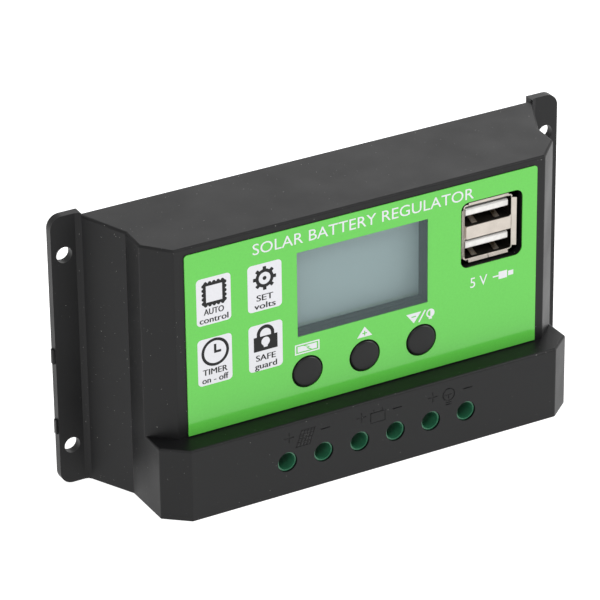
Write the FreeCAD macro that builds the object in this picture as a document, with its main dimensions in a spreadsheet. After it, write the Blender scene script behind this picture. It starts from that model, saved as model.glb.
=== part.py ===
"""Wall-mounted charge controller: moulded case, display, double USB socket, keys and screw terminals.

Millimetres, +Z up, +X to the right of someone facing the label, front towards -Y.
The origin is the middle of the four wall holes, on the plane of the wall.
"""
import FreeCAD, Part
import math
import operator
import os
import types
import Sketcher

doc = FreeCAD.newDocument("ChargeController")

# ---------------------------------------------------------------- driving dimensions
DRIVING = {
    # case
    "case_width": 133.5,
    "case_height": 68.0,
    "flange_width": 7.05,
    "flange_thickness": 2.1,
    "flange_corner": 3.1,
    "wall_thickness": 2.0,
    "slope_wall": 2.2,           # sloping side wall, measured along X
    "slope_run": 11.7,           # how far forward the sloping side goes
    "slope_inset": 5.7,
    "shoulder_inset": 5.65,
    "body_shoulder": 5.6,
    "hood_shoulder": 4.75,
    "body_depth": 25.8,
    "hood_depth": 31.9,
    "hood_rise": 18.1,
    "top_drop": 0.55,            # top face below the flange ends, at the rear
    "top_draft": 1.9,            # further fall of the top face, rear to front
    "edge_round": 0.6,
    "fold_web": 0.9,             # how far the web in the fold reaches along the flange and the wall
    "gate_nub": 0.45,            # stubs left by the mould's gates
    "gate_tall": 3.6,
    "gate_below": 0.9,
    "hole_inset": 3.25,          # wall hole inside the flange's outer edge
    "hole_pitch_up": 48.6,
    "hole_bore": 3.9,
    # back cover and its screws
    "cover_inset": 1.2,
    "cover_ledge": 1.3,          # flange material inside the fold line
    "cover_gap": 0.2,
    "cover_screw_inset": 18.55,  # screw inside the case's outer edge
    "cover_screw_top": 6.1,      # screw line below the top face
    "cover_screw_low": 6.8,      # screw line above the lower end
    "boss_width": 6.0,
    "cover_screw_shank": 2.4,
    "cover_screw_head": 5.6,
    "cover_screw_length": 11.0,
    # circuit board
    "board_rear": 7.4,           # rear face of the board to the wall plane
    "board_thickness": 1.6,
    "board_margin": 1.0,
    "board_side_gap": 0.7,
    "board_screw_inset": 5.0,    # screw inside the board's side edge
    "board_screw_top": 3.0,      # screw line below the inside of the top wall, at the rear
    "board_screw_low": 9.0,
    "post_width": 5.5,
    "board_screw_shank": 2.0,
    "board_screw_head": 4.6,
    "board_screw_length": 7.6,
    "fit_gap": 0.1,
    "lead_gap": 0.15,
    "lead_tail": 1.2,
    # label and display
    "label_film": 0.25,
    "label_left": 45.8,
    "label_right": 46.1,
    "label_top_margin": 1.8,
    "label_low_margin": 0.3,
    "display_across": -0.35,
    "display_width": 34.25,
    "display_tall": 21.3,
    "display_drop": 18.85,       # middle of the display below the front top edge
    "display_recess": 3.9,       # glass below the front wall's outer face
    "glass_width": 37.2,
    "glass_tall": 24.2,
    "glass_thickness": 2.6,
    "light_thickness": 3.0,
    "light_tall": 21.4,
    "holder_wall": 1.5,
    "display_legs": 10.0,
    "leg_pitch": 3.2,
    "leg_width": 0.45,
    "leg_thickness": 0.3,
    # double USB socket
    "usb_across": 33.9,
    "usb_drop": 15.1,
    "usb_hole_width": 16.6,
    "usb_hole_tall": 16.75,
    "usb_hole_corner": 2.0,
    "usb_recess": 0.9,
    "port_width": 12.5,
    "port_tall": 5.1,
    "port_pitch": 8.3,
    "socket_sag": 0.25,          # socket below the middle of its hole
    "socket_sheet": 0.35,
    "lip_side": 0.85,
    "lip_end": 0.62,
    "lip_length": 1.3,
    "tongue_width": 11.4,
    "tongue_thickness": 1.85,
    "tongue_recess": 1.2,
    "tongue_gap": 1.0,
    "tongue_root": 3.0,
    "contact_width": 1.0,
    "contact_thickness": 0.2,
    # keys
    "key_pitch": 15.05,
    "key_rise": 8.6,             # key line above the hood
    "key_hole": 7.9,
    "key_gap": 0.2,
    "key_stand": 0.75,           # crown above the case front
    "key_crown": 0.35,
    "key_collar": 9.4,
    "collar_thickness": 0.9,
    "collar_gap": 0.3,
    "key_stem": 5.6,
    "plunger_width": 3.5,
    "switch_side": 6.0,
    "switch_tall": 3.5,
    "key_travel": 0.3,
    # terminals
    "way_pitch": 9.5,
    "block_gap": 0.3,
    "access_bore": 4.2,
    "collar_width": 4.8,
    "collar_recess": 0.5,        # collars below the hood face
    "access_hole": 5.0,
    "screw_line": 8.3,           # terminal screws above the lower end
    "screw_recess": 6.1,         # screw head below the hood face
    "head_width": 4.6,
    "head_tall": 2.2,
    "head_slot": 0.8,
    "screw_shank": 3.0,
    "screw_gap": 0.05,
    "bar_width": 4.2,
    "bar_thickness": 1.0,
    "bar_front": 17.4,
    "cage_width": 6.4,
    "cage_side": 0.8,
    "cage_plate": 1.2,
    "cage_length": 5.6,
    "cage_travel": 2.5,
    "wire_space": 4.1,
    "chamber_width": 6.8,
    "chamber_end": 1.9,          # chamber beyond the cage, towards the top
    "wire_hole_width": 6.4,
    "wire_hole_tall": 7.4,
}

sheet = doc.addObject("Spreadsheet::Sheet", "Sizes")
for row, (alias, number) in enumerate(DRIVING.items(), start=1):
    sheet.set(f"A{row}", alias)
    sheet.set(f"B{row}", str(number))
    sheet.setAlias(f"B{row}", alias)
doc.recompute()


class Size:
    """A length with both its number and the sheet formula that gives it."""

    def __init__(self, formula, number):
        self.formula = formula
        self.number = number

    def joined(self, sign, work, other, swapped=False):
        if not isinstance(other, Size):
            other = Size(repr(float(other)), float(other))
        left, right = (other, self) if swapped else (self, other)
        return Size(f"({left.formula} {sign} {right.formula})", work(left.number, right.number))

    def __add__(self, other):
        return self.joined("+", operator.add, other)

    def __radd__(self, other):
        return self.joined("+", operator.add, other, True)

    def __sub__(self, other):
        return self.joined("-", operator.sub, other)

    def __rsub__(self, other):
        return self.joined("-", operator.sub, other, True)

    def __mul__(self, other):
        return self.joined("*", operator.mul, other)

    def __rmul__(self, other):
        return self.joined("*", operator.mul, other, True)

    def __truediv__(self, other):
        return self.joined("/", operator.truediv, other)

    def __neg__(self):
        return self * -1


def fixed(number):
    return Size(repr(float(number)), float(number))


d = types.SimpleNamespace(**{
    alias: Size(f"Sizes.{alias}", float(number)) for alias, number in DRIVING.items()
})
ZERO = fixed(0)

# ---------------------------------------------------------------- places that several pieces share
low = -d.case_height / 2
high = d.case_height / 2 - d.top_drop
front_high = high - d.top_draft
hood_high = low + d.hood_rise
edge = d.case_width / 2
fold = edge - d.flange_width
side = fold - d.slope_inset
shoulder = side - d.shoulder_inset
flange_front = -d.flange_thickness
step = flange_front - d.slope_run
body_front = -d.body_depth
hood_front = -d.hood_depth
body_inside = body_front + d.wall_thickness
hood_inside = hood_front + d.wall_thickness
inner_low = low + d.wall_thickness
inner_high = high - d.wall_thickness
inner_front_high = front_high - d.wall_thickness
ledge = fold - d.cover_ledge

cover_screw_x = edge - d.cover_screw_inset
cover_screw_lines = {"top": high - d.cover_screw_top, "low": low + d.cover_screw_low}

board_back = -d.board_rear
board_face = board_back - d.board_thickness
board_side = cover_screw_x - d.boss_width / 2 - d.board_side_gap
board_high = inner_high - d.board_margin
board_low = inner_low + d.fit_gap * 4
board_screw_x = board_side - d.board_screw_inset
board_screw_lines = {"top": inner_high - d.board_screw_top, "low": low + d.board_screw_low}
lead_end = board_back + d.lead_tail

display_z = front_high - d.display_drop
usb_z = front_high - d.usb_drop
key_z = hood_high + d.key_rise
key_line = [-d.key_pitch, ZERO, d.key_pitch]
glass_front = body_front + d.display_recess
glass_back = glass_front + d.glass_thickness
light_back = glass_back + d.light_thickness
leg_row = d.glass_tall / 2 - 0.4
usb_mouth = body_front + d.usb_recess
socket_z = usb_z - d.socket_sag
port_lines = [socket_z + d.port_pitch / 2, socket_z - d.port_pitch / 2]
switch_front = board_face - d.switch_tall
plunger_end = switch_front + d.switch_tall / 3
plunger_front = body_inside + d.collar_gap + d.collar_thickness + 0.2

WAYS = 6
way_line = [d.way_pitch * (index - (WAYS - 1) / 2) for index in range(WAYS)]
screw_z = low + d.screw_line
block_side = d.way_pitch * (WAYS / 2)
block_front = hood_inside + d.block_gap
bore_front = hood_front + d.collar_recess
block_low = inner_low + d.block_gap - 0.1
block_high = hood_high - d.wall_thickness - d.block_gap - 0.1
head_front = hood_front + d.screw_recess
head_back = head_front + d.head_tall
bar_face = -d.bar_front
bar_back = bar_face + d.bar_thickness
cage_base = bar_back + d.wire_space
cage_back = cage_base + d.cage_plate
cage_front = head_back + d.cage_travel + 0.2
chamber_front = head_back
chamber_back = cage_back + d.fit_gap * 3
cage_low = screw_z - d.cage_length / 2
cage_high = screw_z + d.cage_length / 2
chamber_high = cage_high + d.chamber_end
bar_low = cage_low - 0.8
leg_low = chamber_high + 0.2

nodes = []


# ---------------------------------------------------------------- helpers
def keep(piece, label):
    """Name a finished sub-part; its label is also its file's name."""
    piece.Label = label
    nodes.append(piece)
    return piece


def bind(piece, **sizes):
    """Tie properties to the sheet; a double underscore stands for a dot."""
    for name, size in sizes.items():
        piece.setExpression(name.replace("__", "."), size.formula)
    return piece


def place(piece, x=ZERO, y=ZERO, z=ZERO):
    return bind(piece, Placement__Base__x=x, Placement__Base__y=y, Placement__Base__z=z)


def new_body(name):
    return doc.addObject("PartDesign::Body", name + "_body")


def new_sketch(body, plane, offset=None):
    """Sketch on one of the body's own planes, moved along the plane's normal by offset."""
    sketch = body.newObject("Sketcher::SketchObject", body.Name + "_sketch")
    support = [datum for datum in body.Origin.OriginFeatures if datum.Role == plane][0]
    sketch.AttachmentSupport = [(support, "")]
    sketch.MapMode = "FlatFace"
    if offset is not None:
        sketch.AttachmentOffset = FreeCAD.Placement(FreeCAD.Vector(0, 0, offset.number), FreeCAD.Rotation())
        sketch.setExpression("AttachmentOffset.Base.z", offset.formula)
    return sketch


def hold_size(sketch, constraint, size):
    index = sketch.addConstraint(constraint)
    name = f"size{index}"
    sketch.renameConstraint(index, name)
    sketch.setExpression(f"Constraints.{name}", size.formula)


def hold_point(sketch, geometry, point, x, y):
    hold_size(sketch, Sketcher.Constraint("DistanceX", -1, 1, geometry, point, x.number), x)
    hold_size(sketch, Sketcher.Constraint("DistanceY", -1, 1, geometry, point, y.number), y)


def outline(sketch, corners):
    """Closed outline of straight edges, each corner held from the sketch's origin."""
    points = [FreeCAD.Vector(x.number, y.number, 0) for x, y in corners]
    first = sketch.GeometryCount
    count = len(points)
    for index, point in enumerate(points):
        sketch.addGeometry(Part.LineSegment(point, points[(index + 1) % count]), False)
    for index, (x, y) in enumerate(corners):
        before = first + (index - 1) % count
        sketch.addConstraint(Sketcher.Constraint("Coincident", before, 2, first + index, 1))
        hold_point(sketch, first + index, 1, x, y)


def rectangle(sketch, x_low, x_high, y_low, y_high):
    outline(sketch, [(x_low, y_low), (x_high, y_low), (x_high, y_high), (x_low, y_high)])


def mirrored(corners):
    """Right half of an outline, rear to front, completed by its mirror image."""
    return corners + [(-x, y) for x, y in reversed(corners)]


def circle(sketch, x, y, width):
    centre = FreeCAD.Vector(x.number, y.number, 0)
    index = sketch.addGeometry(Part.Circle(centre, FreeCAD.Vector(0, 0, 1), width.number / 2), False)
    hold_size(sketch, Sketcher.Constraint("Radius", index, width.number / 2), width / 2)
    hold_point(sketch, index, 3, x, y)


def pad(body, sketch, length, reverse=False):
    feature = body.newObject("PartDesign::Pad", body.Name + "_pad")
    feature.Profile = sketch
    feature.Reversed = reverse
    return bind(feature, Length=length)


def pocket(body, sketch, length, reverse=False):
    feature = body.newObject("PartDesign::Pocket", body.Name + "_pocket")
    feature.Profile = sketch
    feature.Reversed = reverse
    return bind(feature, Length=length)


def turned(body, corners):
    """Solid of revolution about the body's Y axis; corners are (radius, y)."""
    sketch = new_sketch(body, "XY_Plane")
    outline(sketch, corners)
    feature = body.newObject("PartDesign::Revolution", body.Name + "_turn")
    feature.Profile = sketch
    feature.ReferenceAxis = (sketch, ["V_Axis"])
    feature.Angle = 360
    return feature


def rounded(body, size, wanted):
    """Fillet the edges of the body's present shape that the wanted() test picks."""
    doc.recompute()
    base = body.Tip
    names = [f"Edge{index}" for index, line in enumerate(base.Shape.Edges, start=1) if wanted(line)]
    feature = body.newObject("PartDesign::Fillet", body.Name + "_fillet")
    feature.Base = (base, names)
    return bind(feature, Radius=size)


def upright_at(places):
    """Test for edges along Z that stand at one of the given (x, y) places, either side."""
    def wanted(line):
        box = line.BoundBox
        if box.ZLength < 1 or box.XLength + box.YLength > 0.01:
            return False
        return any(abs(abs(box.XMin) - x.number) < 0.01 and abs(box.YMin - y.number) < 0.01 for x, y in places)
    return wanted


def block(name, x, y, z):
    """Box between pairs of limits along X, Y and Z."""
    piece = doc.addObject("Part::Box", name)
    bind(piece, Length=x[1] - x[0], Width=y[1] - y[0], Height=z[1] - z[0])
    return place(piece, x[0], y[0], z[0])


def rod(name, x, y_rear, y_front, z, width):
    """Round rod along Y, from its rear end to its front end."""
    piece = doc.addObject("Part::Cylinder", name)
    bind(piece, Radius=width / 2, Height=y_rear - y_front)
    piece.Placement = FreeCAD.Placement(FreeCAD.Vector(), FreeCAD.Rotation(FreeCAD.Vector(1, 0, 0), 90))
    return place(piece, x, y_rear, z)


def group(name, pieces):
    piece = doc.addObject("Part::Compound", name)
    piece.Links = pieces
    return piece


def fused(name, pieces):
    piece = doc.addObject("Part::MultiFuse", name)
    piece.Shapes = pieces
    return piece


def less(name, base, tools):
    """Base with every tool taken away."""
    piece = doc.addObject("Part::Cut", name)
    piece.Base = base
    piece.Tool = tools[0] if len(tools) == 1 else group(name + "_tools", tools)
    return piece


def around(centre, width):
    return (centre - width / 2, centre + width / 2)


# ---------------------------------------------------------------- case
def profile(depth, shoulder_depth, inset=ZERO, corner=ZERO, slope=ZERO, start=flange_front):
    """Plan outline of the case at one depth; inset moves every wall inwards."""
    kink = (inset - slope) * d.slope_run / d.slope_inset
    return mirrored([
        (fold - slope, start),
        (side - inset, step - kink),
        (side - inset, -depth + shoulder_depth + corner),
        (shoulder - corner, -depth + inset),
    ])


def front_shell():
    body = new_body("front_shell")
    hood = new_sketch(body, "XY_Plane", low)
    outline(hood, profile(d.hood_depth, d.hood_shoulder))
    pad(body, hood, d.hood_rise)
    rounded(body, d.edge_round, upright_at([(side, hood_front + d.hood_shoulder), (shoulder, hood_front)]))
    rounded(body, d.edge_round, lambda line: (
        line.BoundBox.ZMin > hood_high.number - 0.01 and line.BoundBox.YMax < step.number + 0.01))
    # The body's top face lies below the flange ends and falls forwards.
    upper = new_sketch(body, "XY_Plane", low)
    outline(upper, profile(d.body_depth, d.body_shoulder))
    pad(body, upper, d.case_height - d.top_drop)
    draft = new_sketch(body, "YZ_Plane", -edge)
    outline(draft, [
        (flange_front, high), (body_front, front_high), (body_front, high + 1), (flange_front, high + 1)])
    pocket(body, draft, d.case_width, reverse=True)
    rounded(body, d.edge_round, upright_at([
        (side, step), (side, body_front + d.body_shoulder), (shoulder, body_front)]))
    rounded(body, d.edge_round, lambda line: (
        line.BoundBox.ZMin > front_high.number - 0.01 and line.BoundBox.YMin < flange_front.number - 0.2))

    # The flanges rise past the body's top, and a web fills the fold between each flange and its wall.
    flanges = new_sketch(body, "XZ_Plane")
    top = d.case_height / 2
    lean = d.slope_inset / d.slope_run
    raised = fold - d.fold_web * lean
    cover_top = high - d.cover_inset
    right = [(ledge, low), (edge, low), (edge, top), (raised, top), (raised, cover_top), (ledge, cover_top)]
    outline(flanges, right)
    outline(flanges, [(-x, z) for x, z in right])
    pad(body, flanges, d.flange_thickness)
    rounded(body, d.flange_corner, lambda line: (
        line.BoundBox.YLength > 1 and line.BoundBox.XLength < 0.01
        and abs(abs(line.BoundBox.XMin) - edge.number) < 0.01))
    webs = new_sketch(body, "XY_Plane", low)
    right = [
        (fold + d.fold_web, flange_front + d.fit_gap), (fold + d.fold_web, flange_front),
        (fold + d.fold_web * 0.15, flange_front - d.fold_web * 0.24),
        (fold - d.fold_web * lean * 0.9, flange_front - d.fold_web * 0.9),
        (raised, flange_front + d.fit_gap)]
    outline(webs, right)
    outline(webs, [(-x, y) for x, y in right])
    pad(body, webs, d.case_height)

    # Hollow: the upper space, the hood's space and the relief under the falling top face.
    corner = d.wall_thickness * (math.sqrt(2) - 1)
    hollow = new_sketch(body, "XY_Plane", inner_low)
    outline(hollow, profile(d.body_depth, d.body_shoulder, d.wall_thickness, corner, d.slope_wall))
    pocket(body, hollow, inner_front_high - inner_low, reverse=True)
    hood_hollow = new_sketch(body, "XY_Plane", inner_low)
    outline(hood_hollow, profile(d.hood_depth, d.hood_shoulder, d.wall_thickness, corner, d.slope_wall))
    pocket(body, hood_hollow, d.hood_rise - d.wall_thickness * 2, reverse=True)
    relief = new_sketch(body, "YZ_Plane", -shoulder)
    outline(relief, [
        (flange_front, inner_high), (flange_front, inner_front_high), (body_inside, inner_front_high)])
    pocket(body, relief, shoulder * 2, reverse=True)

    # Screw bosses for the cover and posts for the board.
    reach = {"top": d.body_depth - d.body_shoulder + 1.3, "low": d.hood_depth - d.hood_shoulder + 1.3}
    for line, z in cover_screw_lines.items():
        bosses = new_sketch(body, "XZ_Plane", d.flange_thickness)
        circle(bosses, cover_screw_x, z, d.boss_width)
        circle(bosses, -cover_screw_x, z, d.boss_width)
        pad(body, bosses, reach[line] - d.flange_thickness)
    post_end = {"top": d.body_depth, "low": d.hood_depth}
    for line, z in board_screw_lines.items():
        posts = new_sketch(body, "XZ_Plane", -board_face)
        circle(posts, board_screw_x, z, d.post_width)
        circle(posts, -board_screw_x, z, d.post_width)
        pad(body, posts, post_end[line] - d.wall_thickness / 2 + board_face)
    pilots = new_sketch(body, "XZ_Plane", d.flange_thickness)
    for z in cover_screw_lines.values():
        circle(pilots, cover_screw_x, z, d.cover_screw_shank)
        circle(pilots, -cover_screw_x, z, d.cover_screw_shank)
    pocket(body, pilots, d.cover_screw_length, reverse=True)
    post_pilots = new_sketch(body, "XZ_Plane", -board_face)
    for z in board_screw_lines.values():
        circle(post_pilots, board_screw_x, z, d.board_screw_shank)
        circle(post_pilots, -board_screw_x, z, d.board_screw_shank)
    pocket(body, post_pilots, d.board_screw_length, reverse=True)

    # Openings of the front: display, USB sockets and keys.
    window = new_sketch(body, "XZ_Plane", -body_inside - 0.1)
    rectangle(window, *around(d.display_across, d.display_width), *around(display_z, d.display_tall))
    rectangle(window, *around(d.usb_across, d.usb_hole_width), *around(usb_z, d.usb_hole_tall))
    for x in key_line:
        circle(window, x, key_z, d.key_hole)
    pocket(body, window, d.wall_thickness * 2, reverse=True)
    rounded(body, d.usb_hole_corner, lambda line: (
        line.BoundBox.YLength > d.wall_thickness.number - 0.1
        and line.BoundBox.XLength + line.BoundBox.ZLength < 0.01
        and line.BoundBox.YMax < body_inside.number + 0.01
        and abs(abs(line.BoundBox.XMin - d.usb_across.number) - d.usb_hole_width.number / 2) < 0.01))

    # Screwdriver holes in the hood and wire windows in the lower end.
    access = new_sketch(body, "XZ_Plane", -hood_inside - 0.1)
    for x in way_line:
        circle(access, x, screw_z, d.access_hole)
    pocket(body, access, d.wall_thickness * 2, reverse=True)
    wires = new_sketch(body, "XY_Plane", low - 1)
    for x in way_line:
        rectangle(wires, *around(x, d.wire_hole_width), cage_back - d.wire_hole_tall, cage_back)
    pocket(body, wires, d.wall_thickness + 2, reverse=True)

    # Wall holes, and the two stubs left where the moulding was cut from its runner.
    wall_holes = new_sketch(body, "XZ_Plane", -flange_front + 1)
    for x in (d.hole_inset - edge, edge - d.hole_inset):
        for z in (-d.hole_pitch_up / 2, d.hole_pitch_up / 2):
            circle(wall_holes, x, z, d.hole_bore)
    pocket(body, wall_holes, d.flange_thickness + 2)
    stubs = new_sketch(body, "XZ_Plane", d.flange_thickness / 4)
    for z in (ZERO, -d.hood_rise):
        rectangle(stubs, -edge - d.gate_nub, -edge + 0.1, *around(z - d.gate_below, d.gate_tall))
    pad(body, stubs, d.flange_thickness / 2)
    keep(body, "front_shell")


def back_cover():
    body = new_body("back_cover")
    plate = new_sketch(body, "XZ_Plane")
    half = ledge - d.cover_gap
    rectangle(plate, -half, half, low + d.cover_inset, high - d.cover_inset)
    pad(body, plate, d.flange_thickness)
    holes = new_sketch(body, "XZ_Plane", d.flange_thickness)
    places = [(x, z) for x in (-cover_screw_x, cover_screw_x) for z in cover_screw_lines.values()]
    for x, z in places:
        circle(holes, x, z, d.cover_screw_shank + d.lead_gap * 2)
    pocket(body, holes, d.flange_thickness)
    sinks = []
    for index, (x, z) in enumerate(places):
        sink = doc.addObject("Part::Cone", f"cover_sink_{index}")
        bind(sink, Radius1=d.cover_screw_head / 2 + d.fit_gap, Radius2=d.cover_screw_shank / 2 + d.fit_gap,
             Height=sink_depth())
        sink.Placement = FreeCAD.Placement(FreeCAD.Vector(), FreeCAD.Rotation(FreeCAD.Vector(1, 0, 0), 90))
        sinks.append(place(sink, x, ZERO, z))
    keep(less("back_cover_drilled", body, sinks), "back_cover")


def sink_depth():
    return (d.cover_screw_head - d.cover_screw_shank) / 2


def cover_screws():
    screws = []
    for x in (-cover_screw_x, cover_screw_x):
        for z in cover_screw_lines.values():
            body = new_body("cover_screw")
            head, shank = d.cover_screw_head / 2, d.cover_screw_shank / 2
            sunk = -d.fit_gap
            end = -d.cover_screw_length
            turned(body, [
                (ZERO, sunk), (head, sunk), (shank, sunk - sink_depth()), (shank, end), (ZERO, end - shank)])
            slot = new_sketch(body, "XZ_Plane")
            rectangle(slot, *around(ZERO, head), *around(ZERO, shank / 2))
            pocket(body, slot, d.cover_screw_shank / 2, reverse=True)
            screws.append(place(body, x, ZERO, z))
    keep(group("cover_screw_set", screws), "cover_screws")


def front_label():
    body = new_body("front_label")
    film = new_sketch(body, "XZ_Plane", d.body_depth)
    top = front_high - d.label_top_margin
    rectangle(film, -d.label_left, d.label_right, hood_high + d.label_low_margin, top)
    rectangle(film, *around(d.display_across, d.display_width), *around(display_z, d.display_tall))
    rectangle(film, *around(d.usb_across, d.usb_hole_width), *around(usb_z, d.usb_hole_tall))
    for x in key_line:
        circle(film, x, key_z, d.key_hole + d.fit_gap * 2)
    pad(body, film, d.label_film)

    def corner(line):
        box = line.BoundBox
        across = abs(box.XMin - d.usb_across.number)
        return box.YLength > 0.1 and box.XLength < 0.01 and abs(across - d.usb_hole_width.number / 2) < 0.01
    rounded(body, d.usb_hole_corner, corner)
    keep(body, "front_label")


# ---------------------------------------------------------------- display
def display():
    middle = d.display_across
    keep(block("window_film", around(middle, d.display_width), (body_front - d.label_film, body_front),
               around(display_z, d.display_tall)), "lcd_window")
    keep(block("glass", around(middle, d.glass_width), (glass_front, glass_back),
               around(display_z, d.glass_tall)), "lcd_glass")
    keep(block("light", around(middle, d.glass_width), (glass_back, light_back),
               around(display_z, d.light_tall)), "lcd_backlight")

    body = new_body("lcd_frame")
    inner_width = d.glass_width + d.fit_gap * 2
    inner_tall = d.glass_tall + d.fit_gap * 2
    ring = new_sketch(body, "XZ_Plane", -board_face)
    rectangle(ring, *around(middle, inner_width + d.holder_wall * 2),
              *around(display_z, inner_tall + d.holder_wall * 2))
    pad(body, ring, board_face - body_inside - d.fit_gap)
    well = new_sketch(body, "XZ_Plane", -light_back)
    rectangle(well, *around(middle, inner_width), *around(display_z, inner_tall))
    pocket(body, well, light_back - glass_front, reverse=True)
    sight = new_sketch(body, "XZ_Plane", -glass_front - 1)
    rectangle(sight, *around(middle, d.display_width), *around(display_z, d.display_tall))
    pocket(body, sight, glass_front - body_front + 1, reverse=True)
    under = new_sketch(body, "XZ_Plane", -board_face)
    rectangle(under, *around(middle, inner_width), *around(display_z, inner_tall))
    pocket(body, under, board_face - light_back - d.holder_wall, reverse=True)
    slots = new_sketch(body, "XZ_Plane", -light_back - d.holder_wall * 2)
    for row in (-1, 1):
        rectangle(slots, *around(middle, d.leg_pitch * d.display_legs),
                  *around(display_z + leg_row * row, d.leg_thickness * 2))
    pocket(body, slots, d.holder_wall * 4, reverse=True)
    keep(body, "lcd_frame")

    legs = []
    for index, (x, z) in enumerate(leg_places()):
        legs.append(block(f"display_leg_{index}", around(x, d.leg_width), (glass_back, lead_end),
                          around(z, d.leg_thickness)))
    keep(group("display_legs", legs), "lcd_pins")


def leg_places():
    count = int(DRIVING["display_legs"])
    return [(d.display_across + d.leg_pitch * (index - (count - 1) / 2), display_z + leg_row * row)
            for row in (-1, 1) for index in range(count)]


# ---------------------------------------------------------------- board
# Capacitor cans: (across, rise above the hood's ledge), and their common sizes.
CAPACITORS = [(-34.0, 25.9), (-34.0, 12.4)]
CAN_WIDTH = 10.0
CAN_TALL = 12.5
CAN_LEAD_PITCH = 5.0
CAN_LEAD_WIDTH = 0.6


def circuit_board():
    body = new_body("circuit_board")
    plate = new_sketch(body, "XZ_Plane", -board_back)
    rectangle(plate, -board_side, board_side, board_low, board_high)
    pad(body, plate, d.board_thickness)
    drilled = new_sketch(body, "XZ_Plane", -board_back - 1)
    for x in (-board_screw_x, board_screw_x):
        for z in board_screw_lines.values():
            circle(drilled, x, z, d.board_screw_shank + d.lead_gap * 3)
    for x in way_line:
        circle(drilled, x, leg_low + d.bar_thickness / 2, d.bar_width / 2 + d.lead_gap * 3)
    for x, z in leg_places():
        circle(drilled, x, z, d.leg_width + d.lead_gap * 2)
    for x, z in contact_places():
        circle(drilled, x, z, d.contact_width + d.lead_gap)
    for x, z in capacitor_leads():
        circle(drilled, x, z, CAN_LEAD_WIDTH + d.lead_gap * 2)
    pocket(body, drilled, d.board_thickness + 2, reverse=True)
    keep(body, "circuit_board")


def board_screws():
    screws = []
    for x in (-board_screw_x, board_screw_x):
        for z in board_screw_lines.values():
            body = new_body("board_screw")
            head, shank = d.board_screw_head / 2, d.board_screw_shank / 2
            rear = board_back + head * 0.7
            end = board_face - d.board_screw_length + shank
            turned(body, [(ZERO, rear), (head * 0.7, rear), (head, board_back + head * 0.4), (head, board_back),
                          (shank, board_back), (shank, end), (ZERO, end - shank)])
            slot = new_sketch(body, "XZ_Plane", -rear)
            rectangle(slot, *around(ZERO, head * 1.2), *around(ZERO, shank / 2))
            pocket(body, slot, head * 0.35, reverse=True)
            screws.append(place(body, x, ZERO, z))
    keep(group("board_screw_set", screws), "board_screws")


def above_ledge(rise):
    """Height on the board, counted from the ledge on top of the hood."""
    return hood_high + rise


def capacitor_leads():
    offsets = (-CAN_LEAD_PITCH / 2, CAN_LEAD_PITCH / 2)
    return [(fixed(x + offset), above_ledge(rise)) for x, rise in CAPACITORS for offset in offsets]


def electrolytic_capacitors():
    cans = []
    radius = fixed(CAN_WIDTH / 2)
    rear = board_face - 0.2
    front = board_face - CAN_TALL
    groove = rear - 1.6
    groove_depth = 0.4
    for x, rise in CAPACITORS:
        body = new_body("capacitor")
        turned(body, [
            (ZERO, rear), (radius - 0.3, rear), (radius, rear - 0.3), (radius, groove + groove_depth),
            (radius - groove_depth, groove), (radius, groove - groove_depth), (radius, front + 0.5),
            (radius - 0.5, front), (ZERO, front)])
        place(body, fixed(x), ZERO, above_ledge(rise))
        leads = [rod(f"{body.Name}_lead_{sign}", fixed(x + sign * CAN_LEAD_PITCH / 2), lead_end, rear - 0.5,
                     above_ledge(rise), fixed(CAN_LEAD_WIDTH)) for sign in (-1, 1)]
        cans.append(fused(body.Name + "_whole", [body] + leads))
    keep(group("capacitor_set", cans), "electrolytic_capacitors")


def on_board(name, x, rise, width, tall, thick, stand=0.0):
    """Flat part on the board's front: centred at x, rise above the ledge, thick towards the front."""
    return block(name, around(fixed(x), fixed(width)), (board_face - stand - thick, board_face - stand),
                 around(above_ledge(rise), fixed(tall)))


def chip(name, x, rise, width, tall, thick, legs, pitch, all_sides=False):
    """Surface-mount package with its legs as flat feet, along two sides or all four."""
    stand, foot_length, leg_reach = 0.1, 1.3, 0.35
    pieces = [on_board(name + "_package", x, rise, width, tall, thick, stand)]
    for index in range(legs):
        along = pitch * (index - (legs - 1) / 2)
        for sign in (-1, 1):
            beside, beyond = sign * (width / 2 + leg_reach), sign * (tall / 2 + leg_reach)
            pieces.append(on_board(f"{name}_leg_{index}_{sign}", x + beside, rise + along,
                                   foot_length, pitch * 0.45, stand + thick / 3))
            if all_sides:
                pieces.append(on_board(f"{name}_end_{index}_{sign}", x + along, rise + beyond,
                                       pitch * 0.45, foot_length, stand + thick / 3))
    return fused(name + "_whole", pieces)


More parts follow.
